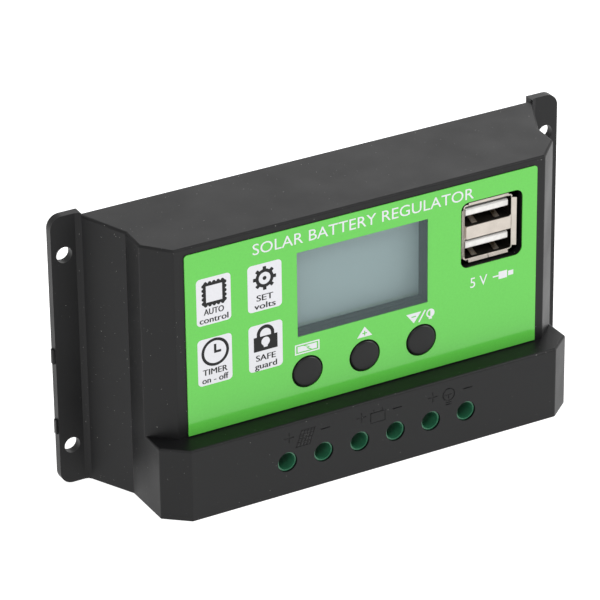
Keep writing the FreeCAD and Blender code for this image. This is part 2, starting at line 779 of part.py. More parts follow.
def board_components():
    controller = chip("controller", x=31.0, rise=4.9, width=7.0, tall=7.0, thick=1.4,
                      legs=8, pitch=0.8, all_sides=True)
    keep(controller, "microcontroller")
    keep(chip("buck", x=23.5, rise=13.9, width=3.9, tall=4.9, thick=1.5, legs=4, pitch=1.27), "buck_regulator")
    coil_x, coil_rise = 33.5, 14.4
    coil = on_board("inductor_base", coil_x, coil_rise, width=8.0, tall=8.0, thick=4.0)
    recess = rod("inductor_recess", fixed(coil_x), board_face - 3.2, board_face - 5.0, above_ledge(coil_rise),
                 fixed(6.0))
    keep(less("inductor_whole", coil, [recess]), "power_inductor")
    diodes = []
    for index, rise in enumerate((3.9, 8.4)):
        package = on_board(f"diode_package_{index}", 22.5, rise, width=4.3, tall=3.6, thick=2.3, stand=0.1)
        tabs = on_board(f"diode_tabs_{index}", 22.5, rise, width=5.4, tall=2.0, thick=1.0)
        diodes.append(fused(f"diode_{index}", [package, tabs]))
    keep(group("diode_pair", diodes), "rectifier_diodes")
    keep(on_board("shunt", -24.0, 2.4, width=6.4, tall=3.2, thick=0.8), "shunt_resistor")
    keep(on_board("quartz", 39.5, 6.4, width=3.2, tall=5.0, thick=1.0), "crystal")
    small = [on_board(f"small_part_{column}_{row}", -42.0 + 4.0 * column, 1.4 + 2.6 * row, 2.0, 1.25, 0.9)
             for column in range(4) for row in range(3)]
    keep(group("small_parts", small), "chip_components")


def power_stage():
    """Switching transistors behind the board, pressed to the cover's heat plate."""
    count, pitch, rise = 4, 16.0, 6.9
    plate_front = flange_front - 0.8
    pad_front = plate_front - 0.5
    centre = above_ledge(rise)
    transistors = []
    for index in range(count):
        x = fixed(pitch * (index - (count - 1) / 2))
        package = block(f"transistor_package_{index}", around(x, fixed(10.0)), (board_back, pad_front),
                        around(centre, fixed(9.0)))
        tab = block(f"transistor_tab_{index}", around(x, fixed(8.0)), (board_back, board_back + 1.3),
                    around(centre + 5.4, fixed(2.0)))
        transistors.append(fused(f"transistor_{index}", [package, tab]))
    keep(group("transistor_row", transistors), "mosfets")
    keep(block("gap_pad", around(ZERO, fixed(62.0)), (pad_front, plate_front), around(centre, fixed(11.0))),
         "thermal_pad")
    plate = block("heat_plate", around(ZERO, fixed(74.0)), (plate_front, flange_front),
                  around(centre, fixed(30.0)))
    keep(plate, "heat_spreader")


# ---------------------------------------------------------------- USB sockets
def usb_socket():
    centre = d.usb_across
    outer_width = d.port_width + d.socket_sheet * 2
    outer_tall = d.port_pitch + d.port_tall + d.socket_sheet * 2
    tube = block("socket_tube", around(centre, outer_width), (usb_mouth, board_face),
                 around(socket_z, outer_tall))
    spaces = [block(f"port_space_{index}", around(centre, d.port_width), (usb_mouth - 1, board_face),
                    around(z, d.port_tall)) for index, z in enumerate(port_lines)]
    web = d.port_pitch - d.port_tall - d.socket_sheet * 2
    spaces.append(block("web_space", around(centre, d.port_width), (usb_mouth + d.socket_sheet, board_face),
                        around(socket_z, web)))
    shell = less("socket_sheetwork", tube, spaces)

    lips = []
    sheet_gap = d.socket_sheet
    for sign in (-1, 1):
        inner = centre + (outer_width / 2) * sign
        side_lip = new_body("socket_side_lip")
        wing = new_sketch(side_lip, "XY_Plane", socket_z - outer_tall / 2 + d.lip_end)
        outline(wing, [(inner, usb_mouth + d.lip_length), (inner + d.lip_side * sign, usb_mouth),
                       (inner + (d.lip_side - sheet_gap) * sign, usb_mouth - 0.05),
                       (inner - sheet_gap * 0.5 * sign, usb_mouth + d.lip_length - 0.5)])
        pad(side_lip, wing, outer_tall - d.lip_end * 2)
        lips.append(side_lip)
        edge_z = socket_z + (outer_tall / 2) * sign
        end_lip = new_body("socket_end_lip")
        flap = new_sketch(end_lip, "YZ_Plane", centre - d.port_width / 2 + d.lip_side)
        outline(flap, [(usb_mouth + d.lip_length, edge_z), (usb_mouth, edge_z + d.lip_end * sign),
                       (usb_mouth - 0.05, edge_z + (d.lip_end - sheet_gap * 0.8) * sign),
                       (usb_mouth + d.lip_length - 0.5, edge_z - sheet_gap * 0.5 * sign)])
        pad(end_lip, flap, d.port_width - d.lip_side * 2)
        lips.append(end_lip)
    keep(fused("socket_shell", [shell] + lips), "usb_shell")

    tongues = []
    strips = []
    for index, z in enumerate(port_lines):
        tongue_z = z + d.port_tall / 2 - d.tongue_gap - d.tongue_thickness / 2
        strip_z = tongue_z - d.tongue_thickness / 2 - d.contact_thickness / 2
        blade = block(f"tongue_blade_{index}", around(centre, d.tongue_width),
                      (usb_mouth + d.tongue_recess, board_face), around(tongue_z, d.tongue_thickness))
        root = block(f"tongue_root_{index}", around(centre, d.port_width - d.fit_gap),
                     (board_face - d.tongue_root, board_face), around(z, d.port_tall - d.fit_gap))
        port_strips = [block(f"strip_{index}_{place_index}", around(x, d.contact_width),
                             (usb_mouth + d.tongue_recess + 1, lead_end), around(strip_z, d.contact_thickness))
                       for place_index, x in enumerate(contact_columns())]
        strips.extend(port_strips)
        solid_tongue = fused(f"tongue_solid_{index}", [blade, root])
        tongues.append(less(f"tongue_{index}", solid_tongue, port_strips))
    keep(group("tongue_pair", tongues), "usb_tongues")
    keep(group("strip_set", strips), "usb_contacts")


def contact_columns():
    return [d.usb_across + offset for offset in (-3.5, -1.0, 1.0, 3.5)]


def contact_places():
    drop = d.port_tall / 2 - d.tongue_gap - d.tongue_thickness - d.contact_thickness / 2
    return [(x, z + drop) for z in port_lines for x in contact_columns()]


# ---------------------------------------------------------------- keys
def keys():
    for name, x in zip(("left", "middle", "right"), key_line):
        cap = new_body("key_cap")
        radius = d.key_hole / 2 - d.key_gap
        crown = body_front - d.key_stand
        rim = crown + d.key_crown
        collar_front = body_inside + d.collar_gap
        collar_rear = collar_front + d.collar_thickness
        stem_rear = switch_front - (d.key_travel + 4)
        turned(cap, [
            (ZERO, crown), (radius * 0.72, crown + d.key_crown * 0.3), (radius, rim), (radius, collar_front),
            (d.key_collar / 2, collar_front), (d.key_collar / 2, collar_rear), (d.key_stem / 2, collar_rear),
            (d.key_stem / 2, stem_rear), (d.plunger_width / 2, stem_rear), (d.plunger_width / 2, plunger_front),
            (ZERO, plunger_front)])
        keep(place(cap, x, ZERO, key_z), f"button_cap_{name}")
        plunger = new_body("key_plunger")
        turned(plunger, [(ZERO, plunger_end), (d.plunger_width / 2, plunger_end),
                         (d.plunger_width / 2, plunger_front), (ZERO, plunger_front)])
        keep(place(plunger, x, ZERO, key_z), f"switch_plunger_{name}")
    switches = []
    for index, x in enumerate(key_line):
        box = block(f"switch_box_{index}", around(x, d.switch_side), (switch_front, board_face),
                    around(key_z, d.switch_side))
        well = rod(f"switch_well_{index}", x, plunger_end + d.key_travel + d.fit_gap, switch_front - 1, key_z,
                   d.plunger_width + d.key_gap)
        switches.append(less(f"switch_{index}", box, [well]))
    keep(group("switch_row", switches), "switch_bodies")


# ---------------------------------------------------------------- terminals
def terminal_block():
    body = new_body("terminal_block")
    lump = new_sketch(body, "XZ_Plane", -board_face)
    rectangle(lump, -block_side, block_side, block_low, block_high)
    pad(body, lump, board_face - block_front)
    collars = new_sketch(body, "XZ_Plane", -block_front)
    for x in way_line:
        circle(collars, x, screw_z, d.collar_width)
    pad(body, collars, block_front - bore_front)
    chambers = new_sketch(body, "XY_Plane", block_low)
    for x in way_line:
        rectangle(chambers, *around(x, d.chamber_width), chamber_front, chamber_back)
    pocket(body, chambers, chamber_high - block_low, reverse=True)
    bores = new_sketch(body, "XZ_Plane", -chamber_front)
    for x in way_line:
        circle(bores, x, screw_z, d.head_width + d.lead_gap * 2)
    pocket(body, bores, chamber_front - head_front + d.fit_gap * 2, reverse=True)
    slots = new_sketch(body, "XZ_Plane", -board_face)
    for x in way_line:
        rectangle(slots, *around(x, d.bar_width + d.lead_gap * 2), chamber_high - 0.01,
                  leg_low + d.bar_thickness + d.lead_gap)
    pocket(body, slots, board_face - bar_face, reverse=True)
    access = new_sketch(body, "XZ_Plane", -chamber_front)
    for x in way_line:
        circle(access, x, screw_z, d.access_bore)
    pocket(body, access, chamber_front - bore_front + 1, reverse=True)
    keep(body, "terminal_block")


def terminal_contacts():
    contacts = []
    for index, x in enumerate(way_line):
        bar = block(f"current_bar_{index}", around(x, d.bar_width), (bar_face, bar_back),
                    (bar_low, leg_low + d.bar_thickness))
        leg = block(f"bar_leg_{index}", around(x, d.bar_width / 2), (bar_back, lead_end),
                    (leg_low, leg_low + d.bar_thickness))
        contacts.append(fused(f"contact_{index}", [bar, leg]))
    keep(group("contact_row", contacts), "terminal_contacts")


def clamps():
    for index, x in enumerate(way_line, start=1):
        screw = new_body("clamp_screw")
        head, shank = d.head_width / 2, d.screw_shank / 2
        tip = bar_face - d.screw_gap
        turned(screw, [
            (ZERO, head_front), (head - 0.3, head_front), (head, head_front + 0.3), (head, head_back),
            (shank, head_back), (shank, tip - 0.4), (shank - 0.4, tip), (ZERO, tip)])
        slot = new_sketch(screw, "XZ_Plane", -head_front)
        rectangle(slot, -head, head, *around(ZERO, d.head_slot))
        pocket(screw, slot, d.head_tall / 2)
        keep(place(screw, x, ZERO, screw_z), f"terminal_screw_{index}")

        frame = block(f"cage_block_{index}", around(x, d.cage_width), (cage_front, cage_back),
                      (cage_low, cage_high))
        space = block(f"cage_space_{index}", around(x, d.cage_width - d.cage_side * 2),
                      (cage_front + d.cage_plate, cage_base), (cage_low - 1, cage_high + 1))
        thread = rod(f"cage_thread_{index}", x, cage_base - 1, cage_front - 1, screw_z,
                     d.screw_shank + d.screw_gap * 2)
        keep(less(f"cage_{index}", frame, [space, thread]), f"clamp_cage_{index}")


def check_and_write():
    doc.recompute()
    for piece in doc.Objects:
        if any(word in piece.State for word in ("Invalid", "Error")):
            raise RuntimeError(f"{piece.Name} did not build: {piece.State}")
    os.makedirs("parts", exist_ok=True)
    for piece in nodes:
        shape = piece.Shape
        if shape.isNull() or not shape.isValid() or not shape.Solids:
            raise RuntimeError(f"{piece.Label} is not a valid solid")
        shape.exportStep(f"parts/{piece.Label}.step")
        box = shape.BoundBox
        print(f"{piece.Label:26s} {len(shape.Solids):3d} solids {shape.Volume:10.1f} mm3  "
              f"X {box.XMin:7.2f} {box.XMax:7.2f}  Y {box.YMin:7.2f} {box.YMax:7.2f}  "
              f"Z {box.ZMin:7.2f} {box.ZMax:7.2f}")


front_shell()
back_cover()
cover_screws()
front_label()
display()
circuit_board()
board_screws()
electrolytic_capacitors()
board_components()
power_stage()
usb_socket()
keys()
terminal_block()
terminal_contacts()
clamps()
check_and_write()
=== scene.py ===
"""Finished surfaces of a wall-mounted charge controller, built around its packed frame."""
import math

import bmesh
import bpy
from mathutils import Matrix, Vector


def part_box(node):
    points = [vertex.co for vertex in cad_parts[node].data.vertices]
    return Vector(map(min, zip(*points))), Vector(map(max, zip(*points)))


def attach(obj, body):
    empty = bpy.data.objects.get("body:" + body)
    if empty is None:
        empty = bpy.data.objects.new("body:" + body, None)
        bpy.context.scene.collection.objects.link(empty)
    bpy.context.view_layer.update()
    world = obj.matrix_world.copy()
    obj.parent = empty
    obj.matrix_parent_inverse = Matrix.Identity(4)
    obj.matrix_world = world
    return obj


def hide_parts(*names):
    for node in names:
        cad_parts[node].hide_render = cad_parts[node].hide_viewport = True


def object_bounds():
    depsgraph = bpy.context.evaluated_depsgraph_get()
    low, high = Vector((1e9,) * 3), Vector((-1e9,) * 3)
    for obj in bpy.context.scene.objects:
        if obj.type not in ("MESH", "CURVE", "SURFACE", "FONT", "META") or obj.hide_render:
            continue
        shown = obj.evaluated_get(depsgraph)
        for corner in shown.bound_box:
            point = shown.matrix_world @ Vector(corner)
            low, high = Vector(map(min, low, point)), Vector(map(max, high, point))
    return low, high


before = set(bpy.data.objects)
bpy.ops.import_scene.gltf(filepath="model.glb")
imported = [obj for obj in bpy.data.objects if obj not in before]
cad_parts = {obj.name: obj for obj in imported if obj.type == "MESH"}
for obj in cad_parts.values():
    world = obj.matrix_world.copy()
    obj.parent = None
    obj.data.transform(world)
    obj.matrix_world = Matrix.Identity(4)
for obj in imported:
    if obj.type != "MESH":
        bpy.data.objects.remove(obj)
CAD_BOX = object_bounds()

bl_info = {
    "name": "Charge controller",
    "version": (1, 0, 0),
    "blender": (4, 5, 0),
    "location": "View3D > Sidebar > Controller",
    "description": "Moulded case, printed label, display, USB sockets, keys and screw terminals",
    "category": "Object",
}

MM = 0.001
CASE = "case"
KEY_SIDES = ("left", "middle", "right")
TERMINALS = range(1, 7)
UPRIGHT = Matrix.Rotation(math.radians(90), 4, "X")
MERGE_DISTANCE = 0.0005 * MM
CREASE_ANGLE = math.radians(32)
FLAT_ANGLE = math.radians(0.5)


def linear(code):
    """Opaque linear colour of an sRGB hex code."""
    def channel(text):
        value = int(text, 16) / 255
        return value / 12.92 if value <= 0.04045 else ((value + 0.055) / 1.055) ** 2.4
    return (channel(code[1:3]), channel(code[3:5]), channel(code[5:7]), 1.0)


def length(name, description, millimetres):
    """Property that holds a length, given in millimetres."""
    return bpy.props.FloatProperty(name=name, description=description, default=millimetres * MM,
                                   subtype="DISTANCE", unit="LENGTH", precision=5)


def colour(name, description, code):
    """Property that holds a colour, given as an sRGB hex code."""
    return bpy.props.FloatVectorProperty(name=name, description=description, default=linear(code), size=4,
                                         subtype="COLOR", min=0.0, max=1.0)


# ---------------------------------------------------------------- what a user may change
class CaseSettings(bpy.types.PropertyGroup):
    """Moulded case and its engraved terminal marks."""
    plastic: colour("Plastic", "Colour of the moulded case", "#0E0E0F")
    grain: length("Grain", "Pitch of the spark-eroded grain", 0.22)
    mark_depth: length("Mark depth", "Depth of the marks over the terminals", 0.12)
    mark_line: length("Mark line", "Width of the engraved lines", 0.3)
    mark_rise: length("Mark rise", "Marks above the screw holes", 6.1)


class LabelSettings(bpy.types.PropertyGroup):
    """Printed film on the front."""
    film: colour("Film", "Ground colour of the label", "#56B342")
    pale_ink: colour("Pale ink", "Cards, title and key signs", "#CBCBCF")
    dark_ink: colour("Dark ink", "Pictures and captions on the cards", "#0D0D0F")
    ink: length("Ink", "Thickness of the printed ink", 0.012)
    corner: length("Corner", "Radius of the label's upper corners", 0.8)
    card_width: length("Card width", "Width of one card", 8.7)
    card_tall: length("Card height", "Height of one card", 11.7)
    card_corner: length("Card corner", "Radius of a card's corners", 1.0)
    title_tall: length("Title height", "Height of the title's capitals", 2.75)
    title_width: length("Title width", "Width of the title", 57.6)


class DisplaySettings(bpy.types.PropertyGroup):
    """Display panel behind its clear window."""
    polariser: colour("Polariser", "Colour of the idle display", "#8DA0A1")
    window_haze: bpy.props.FloatProperty(name="Haze", subtype="FACTOR", default=0.13, min=0.0, max=1.0,
                                         description="How much the clear window veils what is behind")
    film: length("Polariser film", "Thickness of the film on the glass", 0.2)
    edge: length("Film edge", "Bare glass around the polariser", 0.9)


class SocketSettings(bpy.types.PropertyGroup):
    """Stacked double USB socket."""
    nickel: colour("Nickel", "Colour of the plated sheet", "#BEB6AD")
    nylon: colour("Nylon", "Colour of the tongues", "#D9D7D4")
    sheet: length("Sheet", "Thickness of the socket's sheet metal", 0.3)
    flare: length("Flare", "How far the lips lean forward at their free edge", 0.5)


class KeySettings(bpy.types.PropertyGroup):
    """Round keys."""
    plastic: colour("Plastic", "Colour of the caps", "#101011")
    edge: length("Edge", "Radius of the cap's soft edge", 0.55)


class TerminalSettings(bpy.types.PropertyGroup):
    """Screw terminals."""
    nylon: colour("Nylon", "Colour of the terminal block", "#2C6B4D")
    zinc: colour("Zinc", "Colour of the plated screws and cages", "#B9BBBD")


class StageSettings(bpy.types.PropertyGroup):
    """Floor, light and camera."""
    floor: colour("Floor", "Colour of the floor", "#BEBEBE")
    room: bpy.props.FloatProperty(name="Room", description="Brightness of the white room",
                                  default=0.8, min=0.0)
    camera_place: bpy.props.FloatVectorProperty(name="Camera", description="Place of the camera", size=3,
                                                default=(-0.40243, -0.72240, 0.42195), subtype="TRANSLATION",
                                                unit="LENGTH", precision=5)
    turn: bpy.props.FloatProperty(name="Turn", description="Camera's turn to the object's left",
                                  subtype="ANGLE", unit="ROTATION", default=math.radians(28.979))
    tilt: bpy.props.FloatProperty(name="Tilt", description="Camera's height over the horizon",
                                  subtype="ANGLE", unit="ROTATION", default=math.radians(27.283))
    roll: bpy.props.FloatProperty(name="Roll", description="Camera's roll", subtype="ANGLE",
                                  unit="ROTATION", default=math.radians(-0.727))
    lens: bpy.props.FloatProperty(name="Lens", description="Focal length for a 36 mm wide sensor",
                                  subtype="DISTANCE_CAMERA", default=238.70)


# ---------------------------------------------------------------- materials
def add_node(tree, kind, feeds=None, **settings):
    """Add a node, set its properties and feed its sockets with values or other sockets."""
    made = tree.nodes.new(kind)
    for name, value in settings.items():
        setattr(made, name, value)
    for socket, value in (feeds or {}).items():
        if isinstance(value, bpy.types.NodeSocket):
            tree.links.new(value, made.inputs[socket])
        else:
            made.inputs[socket].default_value = value
    return made


def new_material(name, **constants):
    """Material with a Principled shader; constants go on the shader's own sockets."""
    material = bpy.data.materials.new(name)
    material.use_nodes = True
    tree = material.node_tree
    shader = tree.nodes["Principled BSDF"]
    for socket, value in constants.items():
        shader.inputs[socket.replace("_", " ")].default_value = value
    return material, tree, shader


def surface_noise(tree, size_mm, detail=2.0, stretch=(1, 1, 1)):
    """Noise on object coordinates whose features are about size_mm across."""
    place = add_node(tree, "ShaderNodeTexCoord").outputs["Object"]
    mapped = add_node(tree, "ShaderNodeMapping", {"Vector": place, "Scale": stretch})
    noise = add_node(tree, "ShaderNodeTexNoise",
                     {"Vector": mapped.outputs[0], "Scale": 1 / (size_mm * MM), "Detail": detail})
    return noise.outputs["Fac"]


def spread(tree, source, low, high, from_low=0.3, from_high=0.7):
    """Map a noise to a range of values."""
    return add_node(tree, "ShaderNodeMapRange", {"Value": source, "From Min": from_low, "From Max": from_high,
                                                 "To Min": low, "To Max": high}).outputs["Result"]


def tinted(tree, source, first, second):
    """Blend of two colours by a value."""
    mix = add_node(tree, "ShaderNodeMix", data_type="RGBA")
    tree.links.new(source, mix.inputs["Factor"])
    mix.inputs["A"].default_value = first
    mix.inputs["B"].default_value = second
    return mix.outputs["Result"]


def shade(tone, factor):
    """Colour made darker or lighter by a factor."""
    return tuple(min(1.0, part * factor) for part in tone[:3]) + (1.0,)


def mottled(tree, shader, source, tone, darkest, lightest):
    """Base colour that wanders between two shades of a tone with a noise."""
    base = tinted(tree, spread(tree, source, 0.0, 1.0), shade(tone, darkest), shade(tone, lightest))
    tree.links.new(base, shader.inputs["Base Color"])


def rough_and_bumped(tree, shader, source, low, high, depth_mm, strength=1.0, bump_source=None):
    """Roughness range from one noise and a bump of a real depth from it or another."""
    tree.links.new(spread(tree, source, low, high), shader.inputs["Roughness"])
    bump = add_node(tree, "ShaderNodeBump", {"Height": bump_source or source, "Distance": depth_mm * MM,
                                             "Strength": strength})
    tree.links.new(bump.outputs["Normal"], shader.inputs["Normal"])


def moulded_abs(name, tone, grain):
    """Injection-moulded ABS from a spark-eroded tool: even fine grain, soft gloss, a little settled dust."""
    material, tree, shader = new_material(name, IOR=1.5, Specular_IOR_Level=0.26)
    grain_noise = surface_noise(tree, grain / MM, detail=3.0)
    blotch = surface_noise(tree, 9.0, detail=3.0)
    base = tinted(tree, spread(tree, blotch, 0.0, 1.0), shade(tone, 0.85), shade(tone, 1.2))
    specks = surface_noise(tree, 0.42, detail=1.0)
    rare, dense = 0.772, 0.81
    dust = spread(tree, specks, 0.0, 0.7, rare, dense)
    mix = add_node(tree, "ShaderNodeMix", {"Factor": dust}, data_type="RGBA")
    tree.links.new(base, mix.inputs["A"])
    mix.inputs["B"].default_value = linear("#9A9A96")
    tree.links.new(mix.outputs["Result"], shader.inputs["Base Color"])
    rough_and_bumped(tree, shader, blotch, 0.40, 0.48, 0.012, 0.8, grain_noise)
    return material


def smooth_abs(name, tone):
    """Polished moulded ABS: black, evenly glossy, with the faintest cloudiness from handling."""
    material, tree, shader = new_material(name, IOR=1.5, Specular_IOR_Level=0.26)
    cloud = surface_noise(tree, 1.6, 3.0)
    mottled(tree, shader, cloud, tone, 0.9, 1.1)
    rough_and_bumped(tree, shader, cloud, 0.32, 0.40, 0.006, 0.4, surface_noise(tree, 0.25))
    return material


def printed_film(name, tone):
    """Screen-printed polyester film: even satin gloss with the faint waviness of glued film."""
    material, tree, shader = new_material(name, IOR=1.5)
    wave = surface_noise(tree, 14.0, detail=2.0)
    mottled(tree, shader, surface_noise(tree, 0.5), tone, 0.97, 1.03)
    rough_and_bumped(tree, shader, wave, 0.09, 0.12, 0.02, 0.12)
    return material


def screen_ink(name, tone):
    """Screen-printed ink: flat colour with a slightly more open, matter skin than the film."""
    material, tree, shader = new_material(name, IOR=1.5, Specular_IOR_Level=0.25)
    weave = surface_noise(tree, 0.3)
    mottled(tree, shader, weave, tone, 0.96, 1.0)
    rough_and_bumped(tree, shader, weave, 0.28, 0.36, 0.004, 0.3)
    return material


def clear_film(name, haze):
    """Clear polyester window: mostly see-through, with the slight haze and gloss of film."""
    material, tree, shader = new_material(name, IOR=1.5, Alpha=haze, Base_Color=linear("#76898C"))
    rough_and_bumped(tree, shader, surface_noise(tree, 14.0), 0.10, 0.16, 0.02, 0.1)
    return material


def polariser_film(name, tone):
    """Reflective display polariser: grey-green, satin, with a very fine metallic grain."""
    material, tree, shader = new_material(name, IOR=1.5)
    fine = surface_noise(tree, 0.18)
    mottled(tree, shader, fine, tone, 0.95, 1.04)
    rough_and_bumped(tree, shader, fine, 0.42, 0.52, 0.002, 0.3)
    return material


def plated_sheet(name, tone, low, high, grain_mm=0.12):
    """Plated sheet metal or screw stock: bright metal with fine drawn streaks and small stains."""
    material, tree, shader = new_material(name, Metallic=1.0)
    streak = surface_noise(tree, grain_mm, 2.0, (1, 0.06, 1))
    stain = surface_noise(tree, 2.5, 3.0)
    mottled(tree, shader, stain, tone, 0.86, 1.0)
    rough_and_bumped(tree, shader, streak, low, high, 0.003, 0.4)
    return material


def moulded_nylon(name, tone, low=0.38, high=0.5):
    """Glass-filled nylon: even colour, slightly cloudy, with a faint mould texture."""
    material, tree, shader = new_material(name, IOR=1.53)
    cloud = surface_noise(tree, 1.6, 3.0)
    mottled(tree, shader, cloud, tone, 0.9, 1.06)
    rough_and_bumped(tree, shader, cloud, low, high, 0.01, 0.5, surface_noise(tree, 0.2))
    return material


def board_mask(name):
    """Glass-epoxy board under green solder mask: copper runs show as raised, lighter bands."""
    material, tree, shader = new_material(name, IOR=1.5)
    place = add_node(tree, "ShaderNodeTexCoord").outputs["Object"]
    runs = add_node(tree, "ShaderNodeTexVoronoi", {"Vector": place, "Scale": 1 / (3.2 * MM)},
                    distance="CHEBYCHEV", feature="F1")
    copper = spread(tree, runs.outputs["Distance"], 0.0, 1.0, 0.36, 0.42)
    tree.links.new(tinted(tree, copper, linear("#0E4A26"), linear("#1C6B38")), shader.inputs["Base Color"])
    rough_and_bumped(tree, shader, surface_noise(tree, 0.8), 0.22, 0.32, 0.03, 0.6, copper)
    return material


MATERIALS = {}


def finish_of(name):
    """Make each material once, when it is first wanted."""
    if name not in MATERIALS:
        scene = bpy.context.scene
        makers = {
            "spark-eroded ABS": lambda n: moulded_abs(n, scene.case_look.plastic, scene.case_look.grain),
            "printed polyester": lambda n: printed_film(n, scene.label_look.film),
            "pale screen ink": lambda n: screen_ink(n, scene.label_look.pale_ink),
            "dark screen ink": lambda n: screen_ink(n, scene.label_look.dark_ink),
            "clear polyester": lambda n: clear_film(n, scene.display_look.window_haze),
            "display polariser": lambda n: polariser_film(n, scene.display_look.polariser),
            "display glass": lambda n: moulded_nylon(n, linear("#8FA39C"), 0.05, 0.1),
            "nickel-plated steel": lambda n: plated_sheet(n, scene.socket_look.nickel, 0.24, 0.38),
            # Darker steel for the walls deep in the ports: painted shade, not a different metal.
            "socket steel in painted shade": lambda n: plated_sheet(n, linear("#4A4643"), 0.4, 0.55),
            "white nylon": lambda n: moulded_nylon(n, scene.socket_look.nylon),
            "gold-plated bronze": lambda n: plated_sheet(n, linear("#D9B063"), 0.18, 0.3),
            "smooth black ABS": lambda n: smooth_abs(n, scene.key_look.plastic),
            "green nylon": lambda n: moulded_nylon(n, scene.terminal_look.nylon, 0.3, 0.42),
            "zinc-plated steel": lambda n: plated_sheet(n, scene.terminal_look.zinc, 0.26, 0.42),
            "tinned copper": lambda n: plated_sheet(n, linear("#C9C6BD"), 0.28, 0.4),
            "glass-epoxy board": board_mask,
            "black epoxy": lambda n: moulded_nylon(n, linear("#1A1A1B"), 0.5, 0.62),
            "drawn aluminium": lambda n: plated_sheet(n, linear("#C4C5C7"), 0.25, 0.38, 0.2),
            "milky acrylic": lambda n: moulded_nylon(n, linear("#DEDFDC"), 0.3, 0.4),
            "silicone pad": lambda n: moulded_nylon(n, linear("#8C9AA6"), 0.7, 0.8),
        }
        MATERIALS[name] = makers[name](name)
    return MATERIALS[name]


# ---------------------------------------------------------------- mesh helpers
def opened(mesh):
    """A mesh's shape, ready to edit."""
    shape = bmesh.new()
    shape.from_mesh(mesh)
    return shape


def closed(shape, mesh):
    """Write an edited shape to a mesh."""
    shape.to_mesh(mesh)
    shape.free()
    return mesh


def new_piece(name, mesh, material, body=CASE, replaces=(), smooth=True):
    """Finished object from a mesh that is already in place."""
    mesh.name = name
    piece = bpy.data.objects.new(name, mesh)
    bpy.context.scene.collection.objects.link(piece)
    mesh.materials.clear()
    mesh.materials.append(finish_of(material))
    if smooth:
        mesh.shade_smooth()
        mesh.set_sharp_from_angle(angle=CREASE_ANGLE)
        keep_walls_flat(mesh)
        weigh = piece.modifiers.new("Even normals", "WEIGHTED_NORMAL")
        weigh.keep_sharp = True
        weigh.weight = 100
    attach(piece, body)
    if replaces:
        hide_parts(*replaces)
    return piece


def keep_walls_flat(mesh, wall_area=30 * MM * MM):
    """Sharp edges around every large flat face, so that the rounding beside it doesn't shade it."""
    shape = opened(mesh)
    for edge in shape.edges:
        if len(edge.link_faces) == 2 and max(face.calc_area() for face in edge.link_faces) > wall_area:
            if edge.calc_face_angle() > FLAT_ANGLE:
                edge.smooth = False
    closed(shape, mesh)


def soften(piece, name, width, segments, degrees):
    """Bevel every edge that turns by more than an angle."""
    bevel = piece.modifiers.new(name, "BEVEL")
    bevel.width = width
    bevel.segments = segments
    bevel.limit_method = "ANGLE"
    bevel.angle_limit = math.radians(degrees)


def cleaned(mesh, flatten=False):
    """Merge doubles, join flat neighbours if asked, and point the faces outwards."""
    shape = opened(mesh)
    bmesh.ops.remove_doubles(shape, verts=shape.verts, dist=MERGE_DISTANCE)
    if flatten:
        bmesh.ops.dissolve_limit(shape, angle_limit=math.radians(0.4), verts=shape.verts, edges=shape.edges)
    bmesh.ops.recalc_face_normals(shape, faces=shape.faces)
    return closed(shape, mesh)


def merged_copy(node):
    """Copy of a node's mesh, cleaned; the node's own mesh is left alone."""
    return cleaned(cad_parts[node].data.copy(), flatten=True)


def joined(meshes):
    """One mesh from several."""
    shape = bmesh.new()
    for mesh in meshes:
        shape.from_mesh(mesh)
        bpy.data.meshes.remove(mesh)
    return closed(shape, bpy.data.meshes.new("joined"))


def from_object(holder):
    """Plain mesh of an object's evaluated shape; the object goes."""
    graph = bpy.context.evaluated_depsgraph_get()
    mesh = bpy.data.meshes.new_from_object(holder.evaluated_get(graph), depsgraph=graph)
    bpy.data.objects.remove(holder)
    return mesh


def holder_for(data, name="holder"):
    """Working object around a mesh or curve."""
    holder = bpy.data.objects.new(name, data)
    bpy.context.scene.collection.objects.link(holder)
    return holder


def flat_shape(outlines, front, depth):
    """Plate of a given depth behind Y = front, cut from closed (x, z) outlines; inner ones are holes."""
    curve = bpy.data.curves.new("outline", "CURVE")
    curve.dimensions = "2D"
    curve.fill_mode = "BOTH"
    curve.extrude = depth / 2
    for points in outlines:
        spline = curve.splines.new("POLY")
        spline.points.add(len(points) - 1)
        for point, (x, z) in zip(spline.points, points):
            point.co = (x, z, 0, 1)
        spline.use_cyclic_u = True
    mesh = from_object(holder_for(curve))
    mesh.transform(Matrix.Translation((0, front + depth / 2, 0)) @ UPRIGHT)
    return cleaned(mesh)


def lettering(text, x, base, capital, width, front, depth):
    """Line of capitals or words centred on x, standing on Z = base, stretched to a width."""
    words = bpy.data.curves.new("words", "FONT")
    words.body = text
    words.resolution_u = 4
    mesh = from_object(holder_for(words))
    xs = [vertex.co.x for vertex in mesh.vertices]
    capital_tall = 0.7
    middle = (min(xs) + max(xs)) / 2
    natural = max(xs) - min(xs)
    for vertex in mesh.vertices:
        vertex.co = ((vertex.co.x - middle) * width / natural, vertex.co.y * capital / capital_tall, 0)
    shape = opened(mesh)
    bmesh.ops.remove_doubles(shape, verts=shape.verts, dist=MERGE_DISTANCE)
    lifted = bmesh.ops.extrude_face_region(shape, geom=shape.faces[:])["geom"]
    corners = [part for part in lifted if isinstance(part, bmesh.types.BMVert)]
    bmesh.ops.translate(shape, vec=(0, 0, depth), verts=corners)
    closed(shape, mesh)
    mesh.transform(Matrix.Translation((x, front + depth, base)) @ UPRIGHT)
    return cleaned(mesh)


def arc(x, z, radius, start, end, steps):
    """Points of an arc, angles in degrees."""
    angles = [math.radians(start + (end - start) * index / steps) for index in range(steps + 1)]
    return [(x + radius * math.cos(angle), z + radius * math.sin(angle)) for angle in angles]


def round_outline(x, z, radius, steps=48):
    """Points of a full circle."""
    return arc(x, z, radius, 0, 360 * (1 - 1 / steps), steps - 1)


